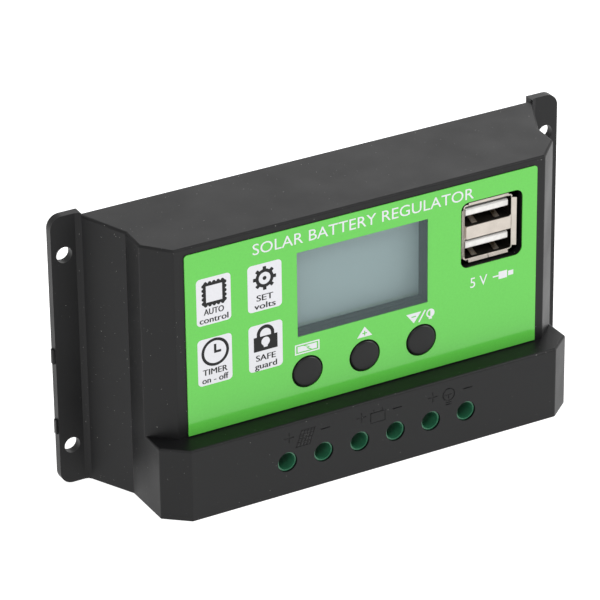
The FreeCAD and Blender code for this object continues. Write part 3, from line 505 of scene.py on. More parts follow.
def box_outline(x_low, x_high, z_low, z_high, radius=0.0, low_radius=None):
    """Rectangle with rounded corners; the lower pair can have a radius of its own."""
    low_radius = radius if low_radius is None else low_radius
    points = []
    for x, z, r, start in ((x_high, z_high, radius, 0), (x_low, z_high, radius, 90),
                           (x_low, z_low, low_radius, 180), (x_high, z_low, low_radius, 270)):
        if r <= 0:
            points.append((x, z))
            continue
        cx = x - r if x == x_high else x + r
        cz = z - r if z == z_high else z + r
        points += arc(cx, cz, r, start, start + 90, 8)
    return points


def stroke(x1, z1, x2, z2, width):
    """Outline of a straight line of a given width."""
    along = Vector((x2 - x1, z2 - z1)).normalized() * (width / 2)
    across = Vector((-along.y, along.x))
    start, end = Vector((x1, z1)) - along, Vector((x2, z2)) + along
    return [tuple(point) for point in (start + across, start - across, end - across, end + across)]


def prism(outline, axis, low, high):
    """Straight solid from a closed outline: along X the outline is (y, z), along Z it is (x, y)."""
    shape = bmesh.new()
    rings = []
    for place in (low, high):
        if axis == "X":
            rings.append([shape.verts.new((place, a, b)) for a, b in outline])
        else:
            rings.append([shape.verts.new((a, b, place)) for a, b in outline])
    count = len(outline)
    for index in range(count):
        after = (index + 1) % count
        shape.faces.new((rings[0][index], rings[0][after], rings[1][after], rings[1][index]))
    shape.faces.new(list(reversed(rings[0])))
    shape.faces.new(rings[1])
    bmesh.ops.recalc_face_normals(shape, faces=shape.faces)
    return closed(shape, bpy.data.meshes.new("prism"))


def lathe(profile, x=0.0, z=0.0, steps=72):
    """Solid of revolution about a line along Y through (x, z); profile is (radius, y), pole to pole."""
    shape = bmesh.new()
    rings = []
    for radius, y in profile:
        if radius < 1e-7:
            rings.append([shape.verts.new((x, y, z))])
            continue
        rings.append([shape.verts.new((x + radius * math.cos(2 * math.pi * index / steps), y,
                                       z + radius * math.sin(2 * math.pi * index / steps)))
                      for index in range(steps)])
    for near, far in zip(rings, rings[1:]):
        for index in range(steps):
            after = (index + 1) % steps
            corners = [near[index % len(near)], near[after % len(near)],
                       far[after % len(far)], far[index % len(far)]]
            shape.faces.new(list(dict.fromkeys(corners)))
    bmesh.ops.recalc_face_normals(shape, faces=shape.faces)
    return closed(shape, bpy.data.meshes.new("turned"))


def cut(mesh, tool):
    """Mesh with the tool's volume taken away."""
    body = holder_for(mesh, "to_cut")
    knife = holder_for(tool, "knife")
    boolean = body.modifiers.new("Cut", "BOOLEAN")
    boolean.operation = "DIFFERENCE"
    boolean.solver = "EXACT"
    boolean.object = knife
    result = from_object(body)
    bpy.data.objects.remove(knife)
    return cleaned(result)


def spaced_copies_tree():
    """Geometry Nodes tree: copies of a template on an upright grid of columns and rows."""
    tree = bpy.data.node_groups.new("Spaced copies", "GeometryNodeTree")
    wanted = [("Template", "NodeSocketObject"), ("Columns", "NodeSocketInt"), ("Rows", "NodeSocketInt"),
              ("Width", "NodeSocketFloat"), ("Height", "NodeSocketFloat"), ("Centre", "NodeSocketVector"),
              ("Finish", "NodeSocketMaterial")]
    for name, kind in wanted:
        tree.interface.new_socket(name=name, in_out="INPUT", socket_type=kind)
    tree.interface.new_socket(name="Geometry", in_out="OUTPUT", socket_type="NodeSocketGeometry")
    given = add_node(tree, "NodeGroupInput").outputs
    grid = add_node(tree, "GeometryNodeMeshGrid", {
        "Size X": given["Width"], "Size Y": given["Height"],
        "Vertices X": given["Columns"], "Vertices Y": given["Rows"]})
    upright = add_node(tree, "GeometryNodeTransform", {"Geometry": grid.outputs["Mesh"],
                                                       "Translation": given["Centre"],
                                                       "Rotation": (math.radians(90), 0, 0)})
    template = add_node(tree, "GeometryNodeObjectInfo", {"Object": given["Template"]})
    copies = add_node(tree, "GeometryNodeInstanceOnPoints", {"Points": upright.outputs[0],
                                                             "Instance": template.outputs["Geometry"]})
    solid = add_node(tree, "GeometryNodeRealizeInstances", {"Geometry": copies.outputs[0]})
    coated = add_node(tree, "GeometryNodeSetMaterial",
                      {"Geometry": solid.outputs[0], "Material": given["Finish"]})
    add_node(tree, "NodeGroupOutput", {"Geometry": coated.outputs[0]})
    return tree


def spaced_copies(template_mesh, columns, rows, width, height, centre, material):
    """Copies of a template, evaluated to one plain mesh."""
    tree = bpy.data.node_groups.get("Spaced copies") or spaced_copies_tree()
    template = holder_for(template_mesh, "template")
    holder = holder_for(bpy.data.meshes.new("copies"), "copies")
    modifier = holder.modifiers.new("Copies", "NODES")
    modifier.node_group = tree
    values = {"Template": template, "Columns": columns, "Rows": rows, "Width": width, "Height": height,
              "Centre": centre, "Finish": finish_of(material)}
    for item in tree.interface.items_tree:
        if item.in_out == "INPUT":
            modifier[item.identifier] = values[item.name]
    mesh = from_object(holder)
    bpy.data.objects.remove(template)
    return mesh


def centre_of(node):
    """Middle of a node's box."""
    low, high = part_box(node)
    return (low + high) / 2


# ---------------------------------------------------------------- case
def screw_places():
    """Middle of each terminal screw, left to right."""
    return [centre_of(f"terminal_screw_{index}") for index in TERMINALS]


def terminal_marks(settings):
    """Outlines of the signs over the terminals: plus, source, minus for each pair."""
    line = settings.mark_line
    places = screw_places()
    aside = 0.45 * MM
    z = places[0].z + settings.mark_rise
    arm, sign_drop = 1.1 * MM, 0.9 * MM
    plates = []
    for index, place in enumerate(places):
        x = place.x + aside
        plates.append([stroke(x - arm, z, x + arm, z, line)])
        if index % 2 == 0:
            plates.append([stroke(x, z - arm, x, z + arm, line)])
    middles = [(places[index].x + places[index + 1].x) / 2 for index in (0, 2, 4)]
    z -= sign_drop
    for sign, middle in zip((panel_sign, battery_sign, lamp_sign), middles):
        plates += sign(middle, z, line)
    return plates


def panel_sign(x, z, line):
    """Leaning solar panel with its grid of cells."""
    half_width, half_tall, lean, cells = 1.75 * MM, 2.0 * MM, 0.75 * MM, 4
    fine = line * 0.7
    plates = []
    for index in range(cells + 1):
        share = index / cells
        level = z - half_tall + 2 * half_tall * share
        shift = lean * (2 * share - 1)
        plates.append([stroke(x - half_width + shift, level, x + half_width + shift, level, fine)])
        column = x - half_width + 2 * half_width * share
        plates.append([stroke(column - lean, z - half_tall, column + lean, z + half_tall, fine)])
    return plates


def battery_sign(x, z, line):
    """Battery case with two posts."""
    half, tall = 2.05 * MM, 1.45 * MM
    case = [box_outline(x - half, x + half, z - tall, z + tall),
            box_outline(x - half + line, x + half - line, z - tall + line, z + tall - line)]
    aside, foot, head = half * 0.55, z + tall + line * 0.6, z + tall + line * 1.4
    posts = [[stroke(x + side * aside, foot, x + side * aside, head, line * 1.4)] for side in (-1, 1)]
    return [case] + posts


def lamp_sign(x, z, line):
    """Lamp bulb with its filament, on its cap."""
    radius, fine, across, up, cap_half = 1.7 * MM, line * 0.8, 0.7 * MM, 0.9 * MM, 0.65 * MM
    middle = z + 0.5 * MM
    bulb = [round_outline(x, middle, radius), round_outline(x, middle, radius - line)]
    filament = [[stroke(x - across, middle, x + across, middle, fine)],
                [stroke(x, middle - up, x, middle, fine)]]
    cap = [[stroke(x - cap_half, level, x + cap_half, level, fine)]
           for level in (middle - radius - 0.35 * MM, middle - radius - 0.85 * MM)]
    return [bulb] + filament + cap


class CONTROLLER_OT_case(bpy.types.Operator):
    """Moulded case with engraved terminal marks, and the back cover"""
    bl_idname = "controller.case"
    bl_label = "Case"

    def execute(self, context):
        settings = context.scene.case_look
        hood_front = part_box("front_shell")[0].y
        shell = merged_copy("front_shell")
        for outlines in terminal_marks(settings):
            shell = cut(shell, flat_shape(outlines, hood_front - 1 * MM, 1 * MM + settings.mark_depth))
        new_piece("case_shell", shell, "spark-eroded ABS", replaces=["front_shell"])
        new_piece("case_cover", merged_copy("back_cover"), "spark-eroded ABS",
                  replaces=["back_cover"])
        return {"FINISHED"}


# ---------------------------------------------------------------- fasteners
def cross_recess(width, depth):
    """Cutters for a cross-slotted head whose face is at Y = 0."""
    arm = width / 2
    thin = width * 0.13
    return [flat_shape([box_outline(-across, across, -tall, tall)], -depth, depth * 2)
            for across, tall in ((arm, thin), (thin, arm))]


class CONTROLLER_OT_fasteners(bpy.types.Operator):
    """Countersunk cover screws and pan-head board screws"""
    bl_idname = "controller.fasteners"
    bl_label = "Screws"

    def execute(self, context):
        self.cover_screws()
        self.board_screws()
        return {"FINISHED"}

    def cover_screws(self):
        """Countersunk heads level with the back cover, on threaded shanks."""
        low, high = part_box("cover_screws")
        head, shank, depth = 2.8 * MM, 1.2 * MM, high.y - low.y
        profile = [(0, 0), (head - 0.15 * MM, 0), (head, -0.12 * MM), (shank, -1.6 * MM)]
        profile += self.thread(shank, -1.9 * MM, -depth + 1.4 * MM, 0.12 * MM, 1.1 * MM)
        profile += [(0, -depth)]
        self.set_of_four("cover_screws", profile, head, 40, 3.0 * MM, 1.1 * MM)

    def board_screws(self):
        """Pan heads that stand on the board, on threaded shanks."""
        low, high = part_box("board_screws")
        head, shank, depth = 2.3 * MM, 1.0 * MM, high.y - low.y
        tall = high.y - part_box("circuit_board")[1].y
        angles = [math.radians(angle) for angle in range(0, 91, 15)]
        profile = [(head * math.sin(angle), -tall * (1 - math.cos(angle))) for angle in angles]
        profile += [(shank, -tall)]
        profile += self.thread(shank, -tall - 1.8 * MM, -depth + 1.2 * MM, 0.1 * MM, 0.9 * MM)
        profile += [(0, -depth)]
        self.set_of_four("board_screws", profile, head, 36, 2.6 * MM, 0.9 * MM)

    @staticmethod
    def set_of_four(node, profile, head, steps, slot_width, slot_depth):
        """Turn one screw, cut its cross slot and copy it to the four corners of its node."""
        low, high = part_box(node)
        middle = (low + high) / 2
        template = lathe(profile, steps=steps)
        for bar in cross_recess(slot_width, slot_depth):
            template = cut(template, bar)
        mesh = spaced_copies(template, 2, 2, high.x - low.x - head * 2, high.z - low.z - head * 2,
                             (middle.x, high.y, middle.z), "zinc-plated steel")
        new_piece(f"{node}_set", mesh, "zinc-plated steel", replaces=[node])

    @staticmethod
    def thread(core, start, end, ridge, pitch):
        """Saw-tooth profile of a screw thread from start to end, both on Y."""
        turns = int(abs(end - start) / pitch)
        points = []
        for index in range(turns):
            y = start - index * pitch
            points += [(core - ridge, y), (core, y - pitch * 0.5)]
        return points + [(core - ridge, start - turns * pitch)]


# ---------------------------------------------------------------- label
class LabelPlan:
    """Places on the label, worked out from its own box."""

    def __init__(self, settings):
        low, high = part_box("front_label")
        self.left, self.right = low.x, high.x
        self.low, self.top = low.z, high.z
        self.face = low.y
        self.back = high.y
        self.ink = settings.ink
        self.card_width = settings.card_width
        self.card_tall = settings.card_tall
        inset, drop, column_pitch, row_pitch = 7.1, 6.7, 12.95, 15.15
        self.cards = [(self.left + (inset + column_pitch * column) * MM,
                       self.top - (drop + row_pitch * row) * MM)
                      for row in (0, 1) for column in (0, 1)]


def chip_picture(x, z):
    """Square microchip frame with a scalloped edge."""
    half, bump, count = 2.7 * MM, 0.42 * MM, 5
    pitch = 2 * half / count
    outline = []
    for quarter in range(4):
        turn = Matrix.Rotation(math.radians(90 * quarter), 2)
        side = []
        for index in range(count):
            start = half - index * pitch
            side.append(Vector((start, half)))
            middle = start - pitch / 2
            side += [Vector(point) for point in arc(middle, half + 0.05 * MM, bump, 20, 160, 6)]
        outline += [tuple(turn @ point) for point in side]
    outer = [(x + a, z + b) for a, b in outline]
    inner = 2.05 * MM
    return [outer, box_outline(x - inner, x + inner, z - inner, z + inner)]


def gear_picture(x, z):
    """Eight-toothed wheel with a dot in its middle."""
    teeth, tip, root = 8, 2.95 * MM, 2.3 * MM
    outline = []
    for index in range(teeth):
        centre = 360 / teeth * index
        outline += arc(x, z, root, centre - 15, centre - 11, 1)
        outline += arc(x, z, tip, centre - 8.5, centre + 8.5, 3)
        outline += arc(x, z, root, centre + 11, centre + 29, 3)
    return [outline, round_outline(x, z, 1.5 * MM), round_outline(x, z, 0.5 * MM, 20)]


def clock_picture(x, z):
    """Clock ring with two hands meeting at the middle."""
    hand = 0.3 * MM
    up, across = 1.95 * MM, 1.5 * MM
    hands = [(x - hand, z - hand), (x + across, z - hand), (x + across, z + hand), (x + hand, z + hand),
             (x + hand, z + up), (x - hand, z + up)]
    return [round_outline(x, z, 3.5 * MM, 72), round_outline(x, z, 2.8 * MM, 64), hands]


def padlock_picture(x, top):
    """Closed padlock with a keyhole."""
    half, shoulder, foot = 3.05 * MM, top - 2.75 * MM, top - 6.4 * MM
    reach, line = 2.25 * MM, 0.85 * MM
    bow = top - reach
    outer = [(x + half, foot), (x + half, shoulder), (x + reach, shoulder)]
    outer += arc(x, bow, reach, 0, 180, 16)
    outer += [(x - reach, shoulder), (x - half, shoulder), (x - half, foot)]
    inner = reach - line
    inside = [(x + inner, shoulder), *arc(x, bow, inner, 0, 180, 16), (x - inner, shoulder)]
    key = arc(x, shoulder - 1.45 * MM, 1.1 * MM, -60, 240, 20) + [(x - 0.5 * MM, foot + 0.8 * MM),
                                                                  (x + 0.5 * MM, foot + 0.8 * MM)]
    return [outer, inside, key]


def plus_outline(x, z, arm, thin):
    """Plus sign as one closed outline."""
    steps = [(-arm, -thin), (-thin, -thin), (-thin, -arm), (thin, -arm), (thin, -thin), (arm, -thin),
             (arm, thin), (thin, thin), (thin, arm), (-thin, arm), (-thin, thin), (-arm, thin)]
    return [(x + across, z + up) for across, up in steps]


def key_signs():
    """Pale signs over the three keys: battery, up with plus, down with minus and lamp."""
    left, middle, right = [centre_of(f"button_cap_{side}").x for side in KEY_SIDES]
    base = centre_of("button_cap_left").z + 4.85 * MM
    tall = 2.6 * MM
    top = base + tall
    line = 0.32 * MM
    centre = base + tall / 2
    half = 3.2 * MM
    signs = [[box_outline(left - half, left + half, base, top),
              box_outline(left - half + line, left + half - line, base + line, top - line)]]
    floor, roof, reach = base + 0.6 * MM, top - 0.6 * MM, 2.5 * MM
    flash = [(-1.1 * MM, roof), (0.35 * MM, centre + 0.1 * MM), (-0.3 * MM, centre), (0.8 * MM, floor)]
    gap = 0.5 * MM
    signs.append([[(left - reach, floor), (left - reach, roof)] + [(left + x, z) for x, z in flash]])
    signs.append([[(left + reach, floor), (left + reach, roof)] + [(left + gap + x, z) for x, z in flash]])
    wing, arm, thin = 2.0 * MM, 0.62 * MM, 0.14 * MM
    third = tall * 0.36
    low_third = base + third
    plus = plus_outline(middle, low_third, arm, thin)
    signs.append([[(middle - wing, base), (middle + wing, base), (middle, top)], plus])
    down = right - 2.0 * MM
    high_third = top - third
    minus = [(down - arm, high_third - thin), (down + arm, high_third - thin),
             (down + arm, high_third + thin), (down - arm, high_third + thin)]
    signs.append([[(down - wing, top), (down, base), (down + wing, top)], minus])
    signs.append([stroke(right - 0.55 * MM, base + 0.1 * MM, right + 0.95 * MM, top - 0.1 * MM, 0.4 * MM)])
    lamp = right + 2.45 * MM
    bulb = 1.1 * MM
    signs.append([round_outline(lamp, top - bulb, bulb), arc(lamp, top - bulb, 0.75 * MM, 90, 270, 12)])
    signs.append([box_outline(lamp - 0.45 * MM, lamp + 0.45 * MM, base, base + 0.42 * MM)])
    return signs


def socket_sign():
    """Outline of a plug beside the socket's voltage."""
    x = centre_of("usb_shell").x + 3.9 * MM
    z = usb_hole_centre().z - 12.5 * MM
    body = [(x - 1.9 * MM, z - 0.95 * MM), (x + 0.4 * MM, z - 0.95 * MM), (x + 0.4 * MM, z + 0.95 * MM),
            (x - 1.9 * MM, z + 0.95 * MM)]
    nose = [box_outline(x + 0.7 * MM, x + 2.1 * MM, z - 0.6 * MM, z + 0.6 * MM)]
    return [[body], nose, [stroke(x - 3.3 * MM, z, x - 2.1 * MM, z, 0.35 * MM)]]


# Each caption is printed twice, this far to either side, which makes its strokes heavier.
CAPTION_WEIGHT = 0.055 * MM
CAPTIONS = [("AUTO", 5.0, "control", 7.2), ("SET", 4.2, "volts", 5.4), ("TIMER", 6.2, "on - off", 6.6),
            ("SAFE", 5.0, "guard", 5.6)]


def usb_hole_centre():
    """Middle of the case's socket hole: the socket hangs a little below it."""
    return centre_of("usb_shell") + Vector((0, 0, 0.25 * MM))


class CONTROLLER_OT_label(bpy.types.Operator):
    """Green film with its cards, pictures, title and signs"""
    bl_idname = "controller.label"
    bl_label = "Label"

    def execute(self, context):
        settings = context.scene.label_look
        plan = LabelPlan(settings)
        self.film(plan, settings)
        self.cards(plan, settings)
        self.pale_print(plan, settings)
        self.dark_print(plan)
        return {"FINISHED"}

    def film(self, plan, settings):
        """Film with its openings for the window, the sockets and the keys."""
        window_low, window_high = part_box("lcd_window")
        usb = usb_hole_centre()
        socket_across, socket_up, socket_corner, key_hole = 8.3 * MM, 8.375 * MM, 2.0 * MM, 4.05 * MM
        outlines = [box_outline(plan.left, plan.right, plan.low, plan.top, settings.corner, 0.1 * MM),
                    box_outline(window_low.x, window_high.x, window_low.z, window_high.z),
                    box_outline(usb.x - socket_across, usb.x + socket_across, usb.z - socket_up,
                                usb.z + socket_up, socket_corner)]
        for side in KEY_SIDES:
            key = centre_of(f"button_cap_{side}")
            outlines.append(round_outline(key.x, key.z, key_hole, 72))
        film = flat_shape(outlines, plan.face, plan.back - plan.face)
        piece = new_piece("label_film", film, "printed polyester",
                          replaces=["front_label"], smooth=False)
        soften(piece, "Cut edge", 0.12 * MM, 1, 60)

    def cards(self, plan, settings):
        """Four pale cards."""
        half = plan.card_width / 2
        outlines = [box_outline(x - half, x + half, top - plan.card_tall, top, settings.card_corner)
                    for x, top in plan.cards]
        cards = [flat_shape([outline], plan.face - plan.ink, plan.ink) for outline in outlines]
        new_piece("label_cards", joined(cards), "pale screen ink", smooth=False)

    def pale_print(self, plan, settings):
        """Title, key signs and socket sign."""
        face = plan.face - plan.ink
        plates = [flat_shape(sign, face, plan.ink) for sign in key_signs() + socket_sign()]
        plates.append(lettering("SOLAR BATTERY REGULATOR", (plan.left + plan.right) / 2, plan.top - 4.15 * MM,
                                settings.title_tall, settings.title_width, face, plan.ink))
        usb = usb_hole_centre()
        plates.append(lettering("5 V", usb.x - 3.4 * MM, usb.z - 13.8 * MM, 2.6 * MM, 4.6 * MM, face,
                                plan.ink))
        new_piece("label_pale_print", joined(plates), "pale screen ink", smooth=False)

    def dark_print(self, plan):
        """Pictures and captions on the cards."""
        face = plan.face - plan.ink * 2
        (x1, top1), (x2, top2), (x3, top3), (x4, top4) = plan.cards
        pictures = [chip_picture(x1 + 0.15 * MM, top1 - 4.1 * MM), gear_picture(x2, top2 - 3.75 * MM),
                    clock_picture(x3 + 0.1 * MM, top3 - 3.75 * MM), padlock_picture(x4, top4 - 0.35 * MM)]
        plates = [flat_shape(picture, face, plan.ink) for picture in pictures]
        upper_line, lower_line, capital = 9.2, 11.2, 1.5 * MM
        for (x, top), (first, first_width, second, second_width) in zip(plan.cards, CAPTIONS):
            for words, base, width in ((first, upper_line, first_width), (second, lower_line, second_width)):
                for side in (-1, 1):
                    layer = face + (1 + side) * plan.ink * 0.1
                    plates.append(lettering(words, x + side * CAPTION_WEIGHT, top - base * MM, capital,
                                            width * MM, layer, plan.ink))
        new_piece("label_dark_print", joined(plates), "dark screen ink", smooth=False)


# ---------------------------------------------------------------- display
class CONTROLLER_OT_display(bpy.types.Operator):
    """Clear window, display glass with its polariser, holder, light panel and legs"""
    bl_idname = "controller.display"
    bl_label = "Display"

    def execute(self, context):
        settings = context.scene.display_look
        low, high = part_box("lcd_window")
        pane = flat_shape([box_outline(low.x, high.x, low.z, high.z)], low.y, high.y - low.y)
        new_piece("display_window", pane, "clear polyester", replaces=["lcd_window"],
                  smooth=False)
        low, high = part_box("lcd_glass")
        ledge = 1.6 * MM
        split = low.y + settings.film + (high.y - low.y) / 2
        plates = [flat_shape([box_outline(low.x, high.x, low.z, high.z, 0.3 * MM)], split, high.y - split),
                  flat_shape([box_outline(low.x, high.x, low.z + ledge, high.z, 0.3 * MM)],
                             low.y + settings.film, split - low.y - settings.film)]
        new_piece("display_glass", joined(plates), "display glass",
                  replaces=["lcd_glass"], smooth=False)
        edge = settings.edge
        film = flat_shape([box_outline(low.x + edge, high.x - edge, low.z + edge + ledge, high.z - edge,
                                       0.2 * MM)], low.y, settings.film)
        new_piece("display_polariser", film, "display polariser", smooth=False)
        dress("lcd_frame", "smooth black ABS")
        dress("lcd_backlight", "milky acrylic")
        dress("lcd_pins", "tinned copper")
        return {"FINISHED"}


def dress(node, material):
    """Give a node that stays as it is its finished material."""
    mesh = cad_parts[node].data
    mesh.materials.clear()
    mesh.materials.append(finish_of(material))


# ---------------------------------------------------------------- USB sockets
class CONTROLLER_OT_sockets(bpy.types.Operator):
    """Sheet-metal socket shell with flared lips, springs, tongues and contacts"""
    bl_idname = "controller.sockets"
    bl_label = "USB sockets"

    port_half = Vector((6.25, 2.55)) * MM
    port_rise = 4.15 * MM

    def execute(self, context):
        settings = context.scene.socket_look
        low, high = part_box("usb_shell")
        centre = (low + high) / 2
        self.shell(settings, centre, low, high)
        self.springs(centre, low.y + settings.flare)
        self.tongues(centre, low.y, high.y)
        self.contacts()
        return {"FINISHED"}

    def shell(self, settings, centre, low, high):
        """Tube with two ports, the plate between them and the four leaning lips."""
        wall, corner = 0.35 * MM, 0.9 * MM
        mouth = low.y + settings.flare
        half_x = self.port_half.x
        half_z = self.port_rise + self.port_half.y
        levels = [centre.z + side * self.port_rise for side in (1, -1)]
        ports = [box_outline(centre.x - half_x, centre.x + half_x, level - self.port_half.y,
                             level + self.port_half.y, 0.35 * MM) for level in levels]
        around = box_outline(centre.x - half_x - wall, centre.x + half_x + wall, centre.z - half_z - wall,
                             centre.z + half_z + wall, 0.8 * MM)
        tube_front = mouth + 0.15 * MM
        tube = flat_shape([around] + ports, tube_front, high.y - tube_front)
        web = self.port_rise - self.port_half.y
        reach = half_x - 0.25 * MM
        plate = flat_shape([box_outline(centre.x - reach, centre.x + reach, centre.z - web, centre.z + web,
                                        0.3 * MM)], low.y + 0.3 * MM, wall)
        parts = [tube, plate]
        for side in (-1, 1):
            wing = self.lip(centre.x + side * half_x, side, high.x - centre.x - half_x, mouth, settings.sheet,
                            settings.flare)
            parts.append(prism(wing, "Z", centre.z - half_z + corner * 0.7, centre.z + half_z - corner * 0.6))
            flap = self.lip(centre.z + side * half_z, side, high.z - centre.z - half_z, mouth, settings.sheet,
                            settings.flare * 0.4)
            turned = [(y, z) for z, y in flap]
            spans = [(centre.x - half_x + corner, centre.x + half_x - corner)]
            if side < 0:
                seam = 0.1 * MM
                spans = [(spans[0][0], centre.x - seam), (centre.x + seam, spans[0][1])]
            parts += [prism(turned, "X", start, end) for start, end in spans]
        piece = new_piece("usb_shell_sheet", joined(parts), "nickel-plated steel",
                          replaces=["usb_shell"])
        # Painted shade: the walls inside the ports take the darker steel.
        self.paint_shade_inside(piece.data, centre, half_x, half_z, tube_front)

    @staticmethod
    def paint_shade_inside(mesh, centre, half_x, half_z, front):
        """The walls inside the ports, behind the plated mouth, get a darker steel as painted shade where
        little light reaches.
        """
        mesh.materials.append(finish_of("socket steel in painted shade"))
        slack = 0.01 * MM
        for face in mesh.polygons:
            aside, above = abs(face.center.x - centre.x), abs(face.center.z - centre.z)
            if aside < half_x + slack and above < half_z + slack and face.center.y > front + slack:
                face.material_index = 1

    @staticmethod
    def lip(edge, side, reach, mouth, sheet, flare):
        """Section of a lip as (across, y) points: out of the port, over a bend and on to the free edge."""
        bend = 0.22 * MM
        face = [(0.0, mouth + 0.9 * MM), (0.0, mouth + bend)]
        for angle in (math.radians(30), math.radians(60)):
            face.append((bend * (1 - math.cos(angle)), mouth + bend * (1 - math.sin(angle))))
        face += [(bend, mouth), (reach - 0.08 * MM, mouth - flare), (reach, mouth - flare + 0.06 * MM)]
        rear = [(reach, mouth - flare + sheet), (bend + sheet, mouth + sheet), (sheet, mouth + 0.9 * MM)]
        return [(edge + side * across, y) for across, y in face + rear]

    def springs(self, centre, mouth):
        """Four leaf springs that rise from the floor of each port and grip the plug."""
        floor = -self.port_half.y
        section = [(1.4, 0.0), (3.2, 0.75), (4.4, 1.05), (5.2, 0.95),
                   (5.2, 0.75), (4.4, 0.85), (3.2, 0.53), (1.4, -0.2)]
        leaf = prism([((y - 1.4) * MM, z * MM + floor) for y, z in section], "X", -0.7 * MM, 0.7 * MM)
        mesh = spaced_copies(leaf, 2, 2, 6.0 * MM, self.port_rise * 2,
                             (centre.x, mouth + 1.1 * MM, centre.z), "nickel-plated steel")
        new_piece("usb_springs", mesh, "nickel-plated steel")

    def tongues(self, centre, mouth, back):
        """White tongues, one to a port, on their root blocks."""
        blade = 5.7 * MM
        thick = 1.85 * MM
        rise = self.port_half.y - 1.0 * MM - thick
        nose, blunt = mouth + 1.2 * MM, 0.3 * MM
        round_nose = [(nose, rise + blunt), (nose + blunt, rise), (back, rise), (back, rise + thick),
                      (nose + blunt, rise + thick), (nose, rise + thick - blunt)]
        shape = prism(round_nose, "X", -blade, blade)
        play, root_front = 0.05 * MM, back - 3 * MM
        foot, half = -self.port_half.y + play, self.port_half.x - play
        root = prism([(root_front, foot), (back, foot), (back, rise), (root_front, rise)], "X", -half, half)
        template = joined([shape, root])
        mesh = spaced_copies(template, 2, 2, 0.0, self.port_rise * 2, (centre.x, 0, centre.z), "white nylon")
        new_piece("usb_tongue_pair", cleaned(mesh), "white nylon",
                  replaces=["usb_tongues"])

    def contacts(self):
        """Eight gold springs under the tongues."""
        low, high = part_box("usb_contacts")
        width, thick = 1.0 * MM, 0.2 * MM
        reach = high.y - low.y
        crest, end, bulge = 0.6 * MM, 2.0 * MM, 0.18 * MM
        section = [(0.0, 0.0), (crest, -bulge), (end, 0.0), (reach, 0.0), (reach, thick),
                   (end, thick), (crest, thick - bulge), (0.0, thick)]
        strip = prism([(y, z - thick / 2) for y, z in section], "X", -width / 2, width / 2)
        middle = (low + high) / 2
        rows = high.z - low.z - thick
        place = (middle.x, low.y, middle.z)
        parts = [spaced_copies(strip.copy(), 2, 2, gap, rows, place, "gold-plated bronze")
                 for gap in (7.0 * MM, 2.0 * MM)]
        bpy.data.meshes.remove(strip)
        new_piece("usb_contact_strips", joined(parts), "gold-plated bronze",
                  replaces=["usb_contacts"])


# ---------------------------------------------------------------- keys
class CONTROLLER_OT_keys(bpy.types.Operator):
    """Three round caps with their plungers and switches"""
    bl_idname = "controller.keys"
    bl_label = "Keys"

    def execute(self, context):
        edge = context.scene.key_look.edge
        for side in KEY_SIDES:
            node = f"button_cap_{side}"
            low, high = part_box(node)
            plunger_low, plunger_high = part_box(f"switch_plunger_{side}")
            radius, collar, stem = 3.75 * MM, (high.x - low.x) / 2, 2.8 * MM
            bore = (plunger_high.x - plunger_low.x) / 2
            crown = low.y
            shoulder = crown + 0.12 * MM
            collar_front = crown + 3.05 * MM
            collar_rear = collar_front + 0.9 * MM
            profile = [(0, crown), (radius * 0.35, crown + 0.015 * MM), (radius * 0.7, crown + 0.06 * MM)]
            profile += [(radius - edge + edge * math.sin(math.radians(angle)),
                         shoulder + edge * (1 - math.cos(math.radians(angle)))) for angle in range(0, 91, 15)]
            profile += [(radius, collar_front), (collar, collar_front), (collar, collar_rear),
                        (stem, collar_rear), (stem, high.y), (bore, high.y), (bore, plunger_low.y),
                        (0, plunger_low.y)]
            middle = (low + high) / 2
            new_piece(f"key_cap_{side}", lathe(profile, middle.x, middle.z), "smooth black ABS",
                      f"key_{side}", [node])
            dress(f"switch_plunger_{side}", "black epoxy")
        dress("switch_bodies", "black epoxy")
        return {"FINISHED"}


# ---------------------------------------------------------------- terminals
class CONTROLLER_OT_terminals(bpy.types.Operator):
    """Terminal block, current bars, clamp screws and rising cages"""
    bl_idname = "controller.terminals"
    bl_label = "Terminals"

    def execute(self, context):
        new_piece("terminal_housing", merged_copy("terminal_block"), "green nylon",
                  replaces=["terminal_block"])
        dress("terminal_contacts", "tinned copper")
        for index in TERMINALS:
            new_piece(f"clamp_screw_{index}", merged_copy(f"terminal_screw_{index}"), "zinc-plated steel",
                      f"screw_{index}", [f"terminal_screw_{index}"])
            self.cage(index)
        return {"FINISHED"}

    def cage(self, index):
        """Clamp cage bent from strip: soft corners on the CAD shape."""
        piece = new_piece(f"rising_cage_{index}", merged_copy(f"clamp_cage_{index}"), "zinc-plated steel",
                          f"cage_{index}", [f"clamp_cage_{index}"], smooth=False)
        soften(piece, "Soft corners", 0.18 * MM, 2, 40)


# ---------------------------------------------------------------- board and electronics
INNER_FINISHES = {
    "circuit_board": "glass-epoxy board",
    "electrolytic_capacitors": "drawn aluminium",
    "microcontroller": "black epoxy",
    "buck_regulator": "black epoxy",
    "power_inductor": "black epoxy",
    "rectifier_diodes": "black epoxy",
    "mosfets": "black epoxy",
    "chip_components": "black epoxy",
    "shunt_resistor": "tinned copper",
    "crystal": "drawn aluminium",
    "thermal_pad": "silicone pad",
    "heat_spreader": "drawn aluminium",
}


class CONTROLLER_OT_electronics(bpy.types.Operator):
    """Circuit board and what is soldered to it"""
    bl_idname = "controller.electronics"
    bl_label = "Electronics"

    def execute(self, context):
        for node, material in INNER_FINISHES.items():
            dress(node, material)
        return {"FINISHED"}


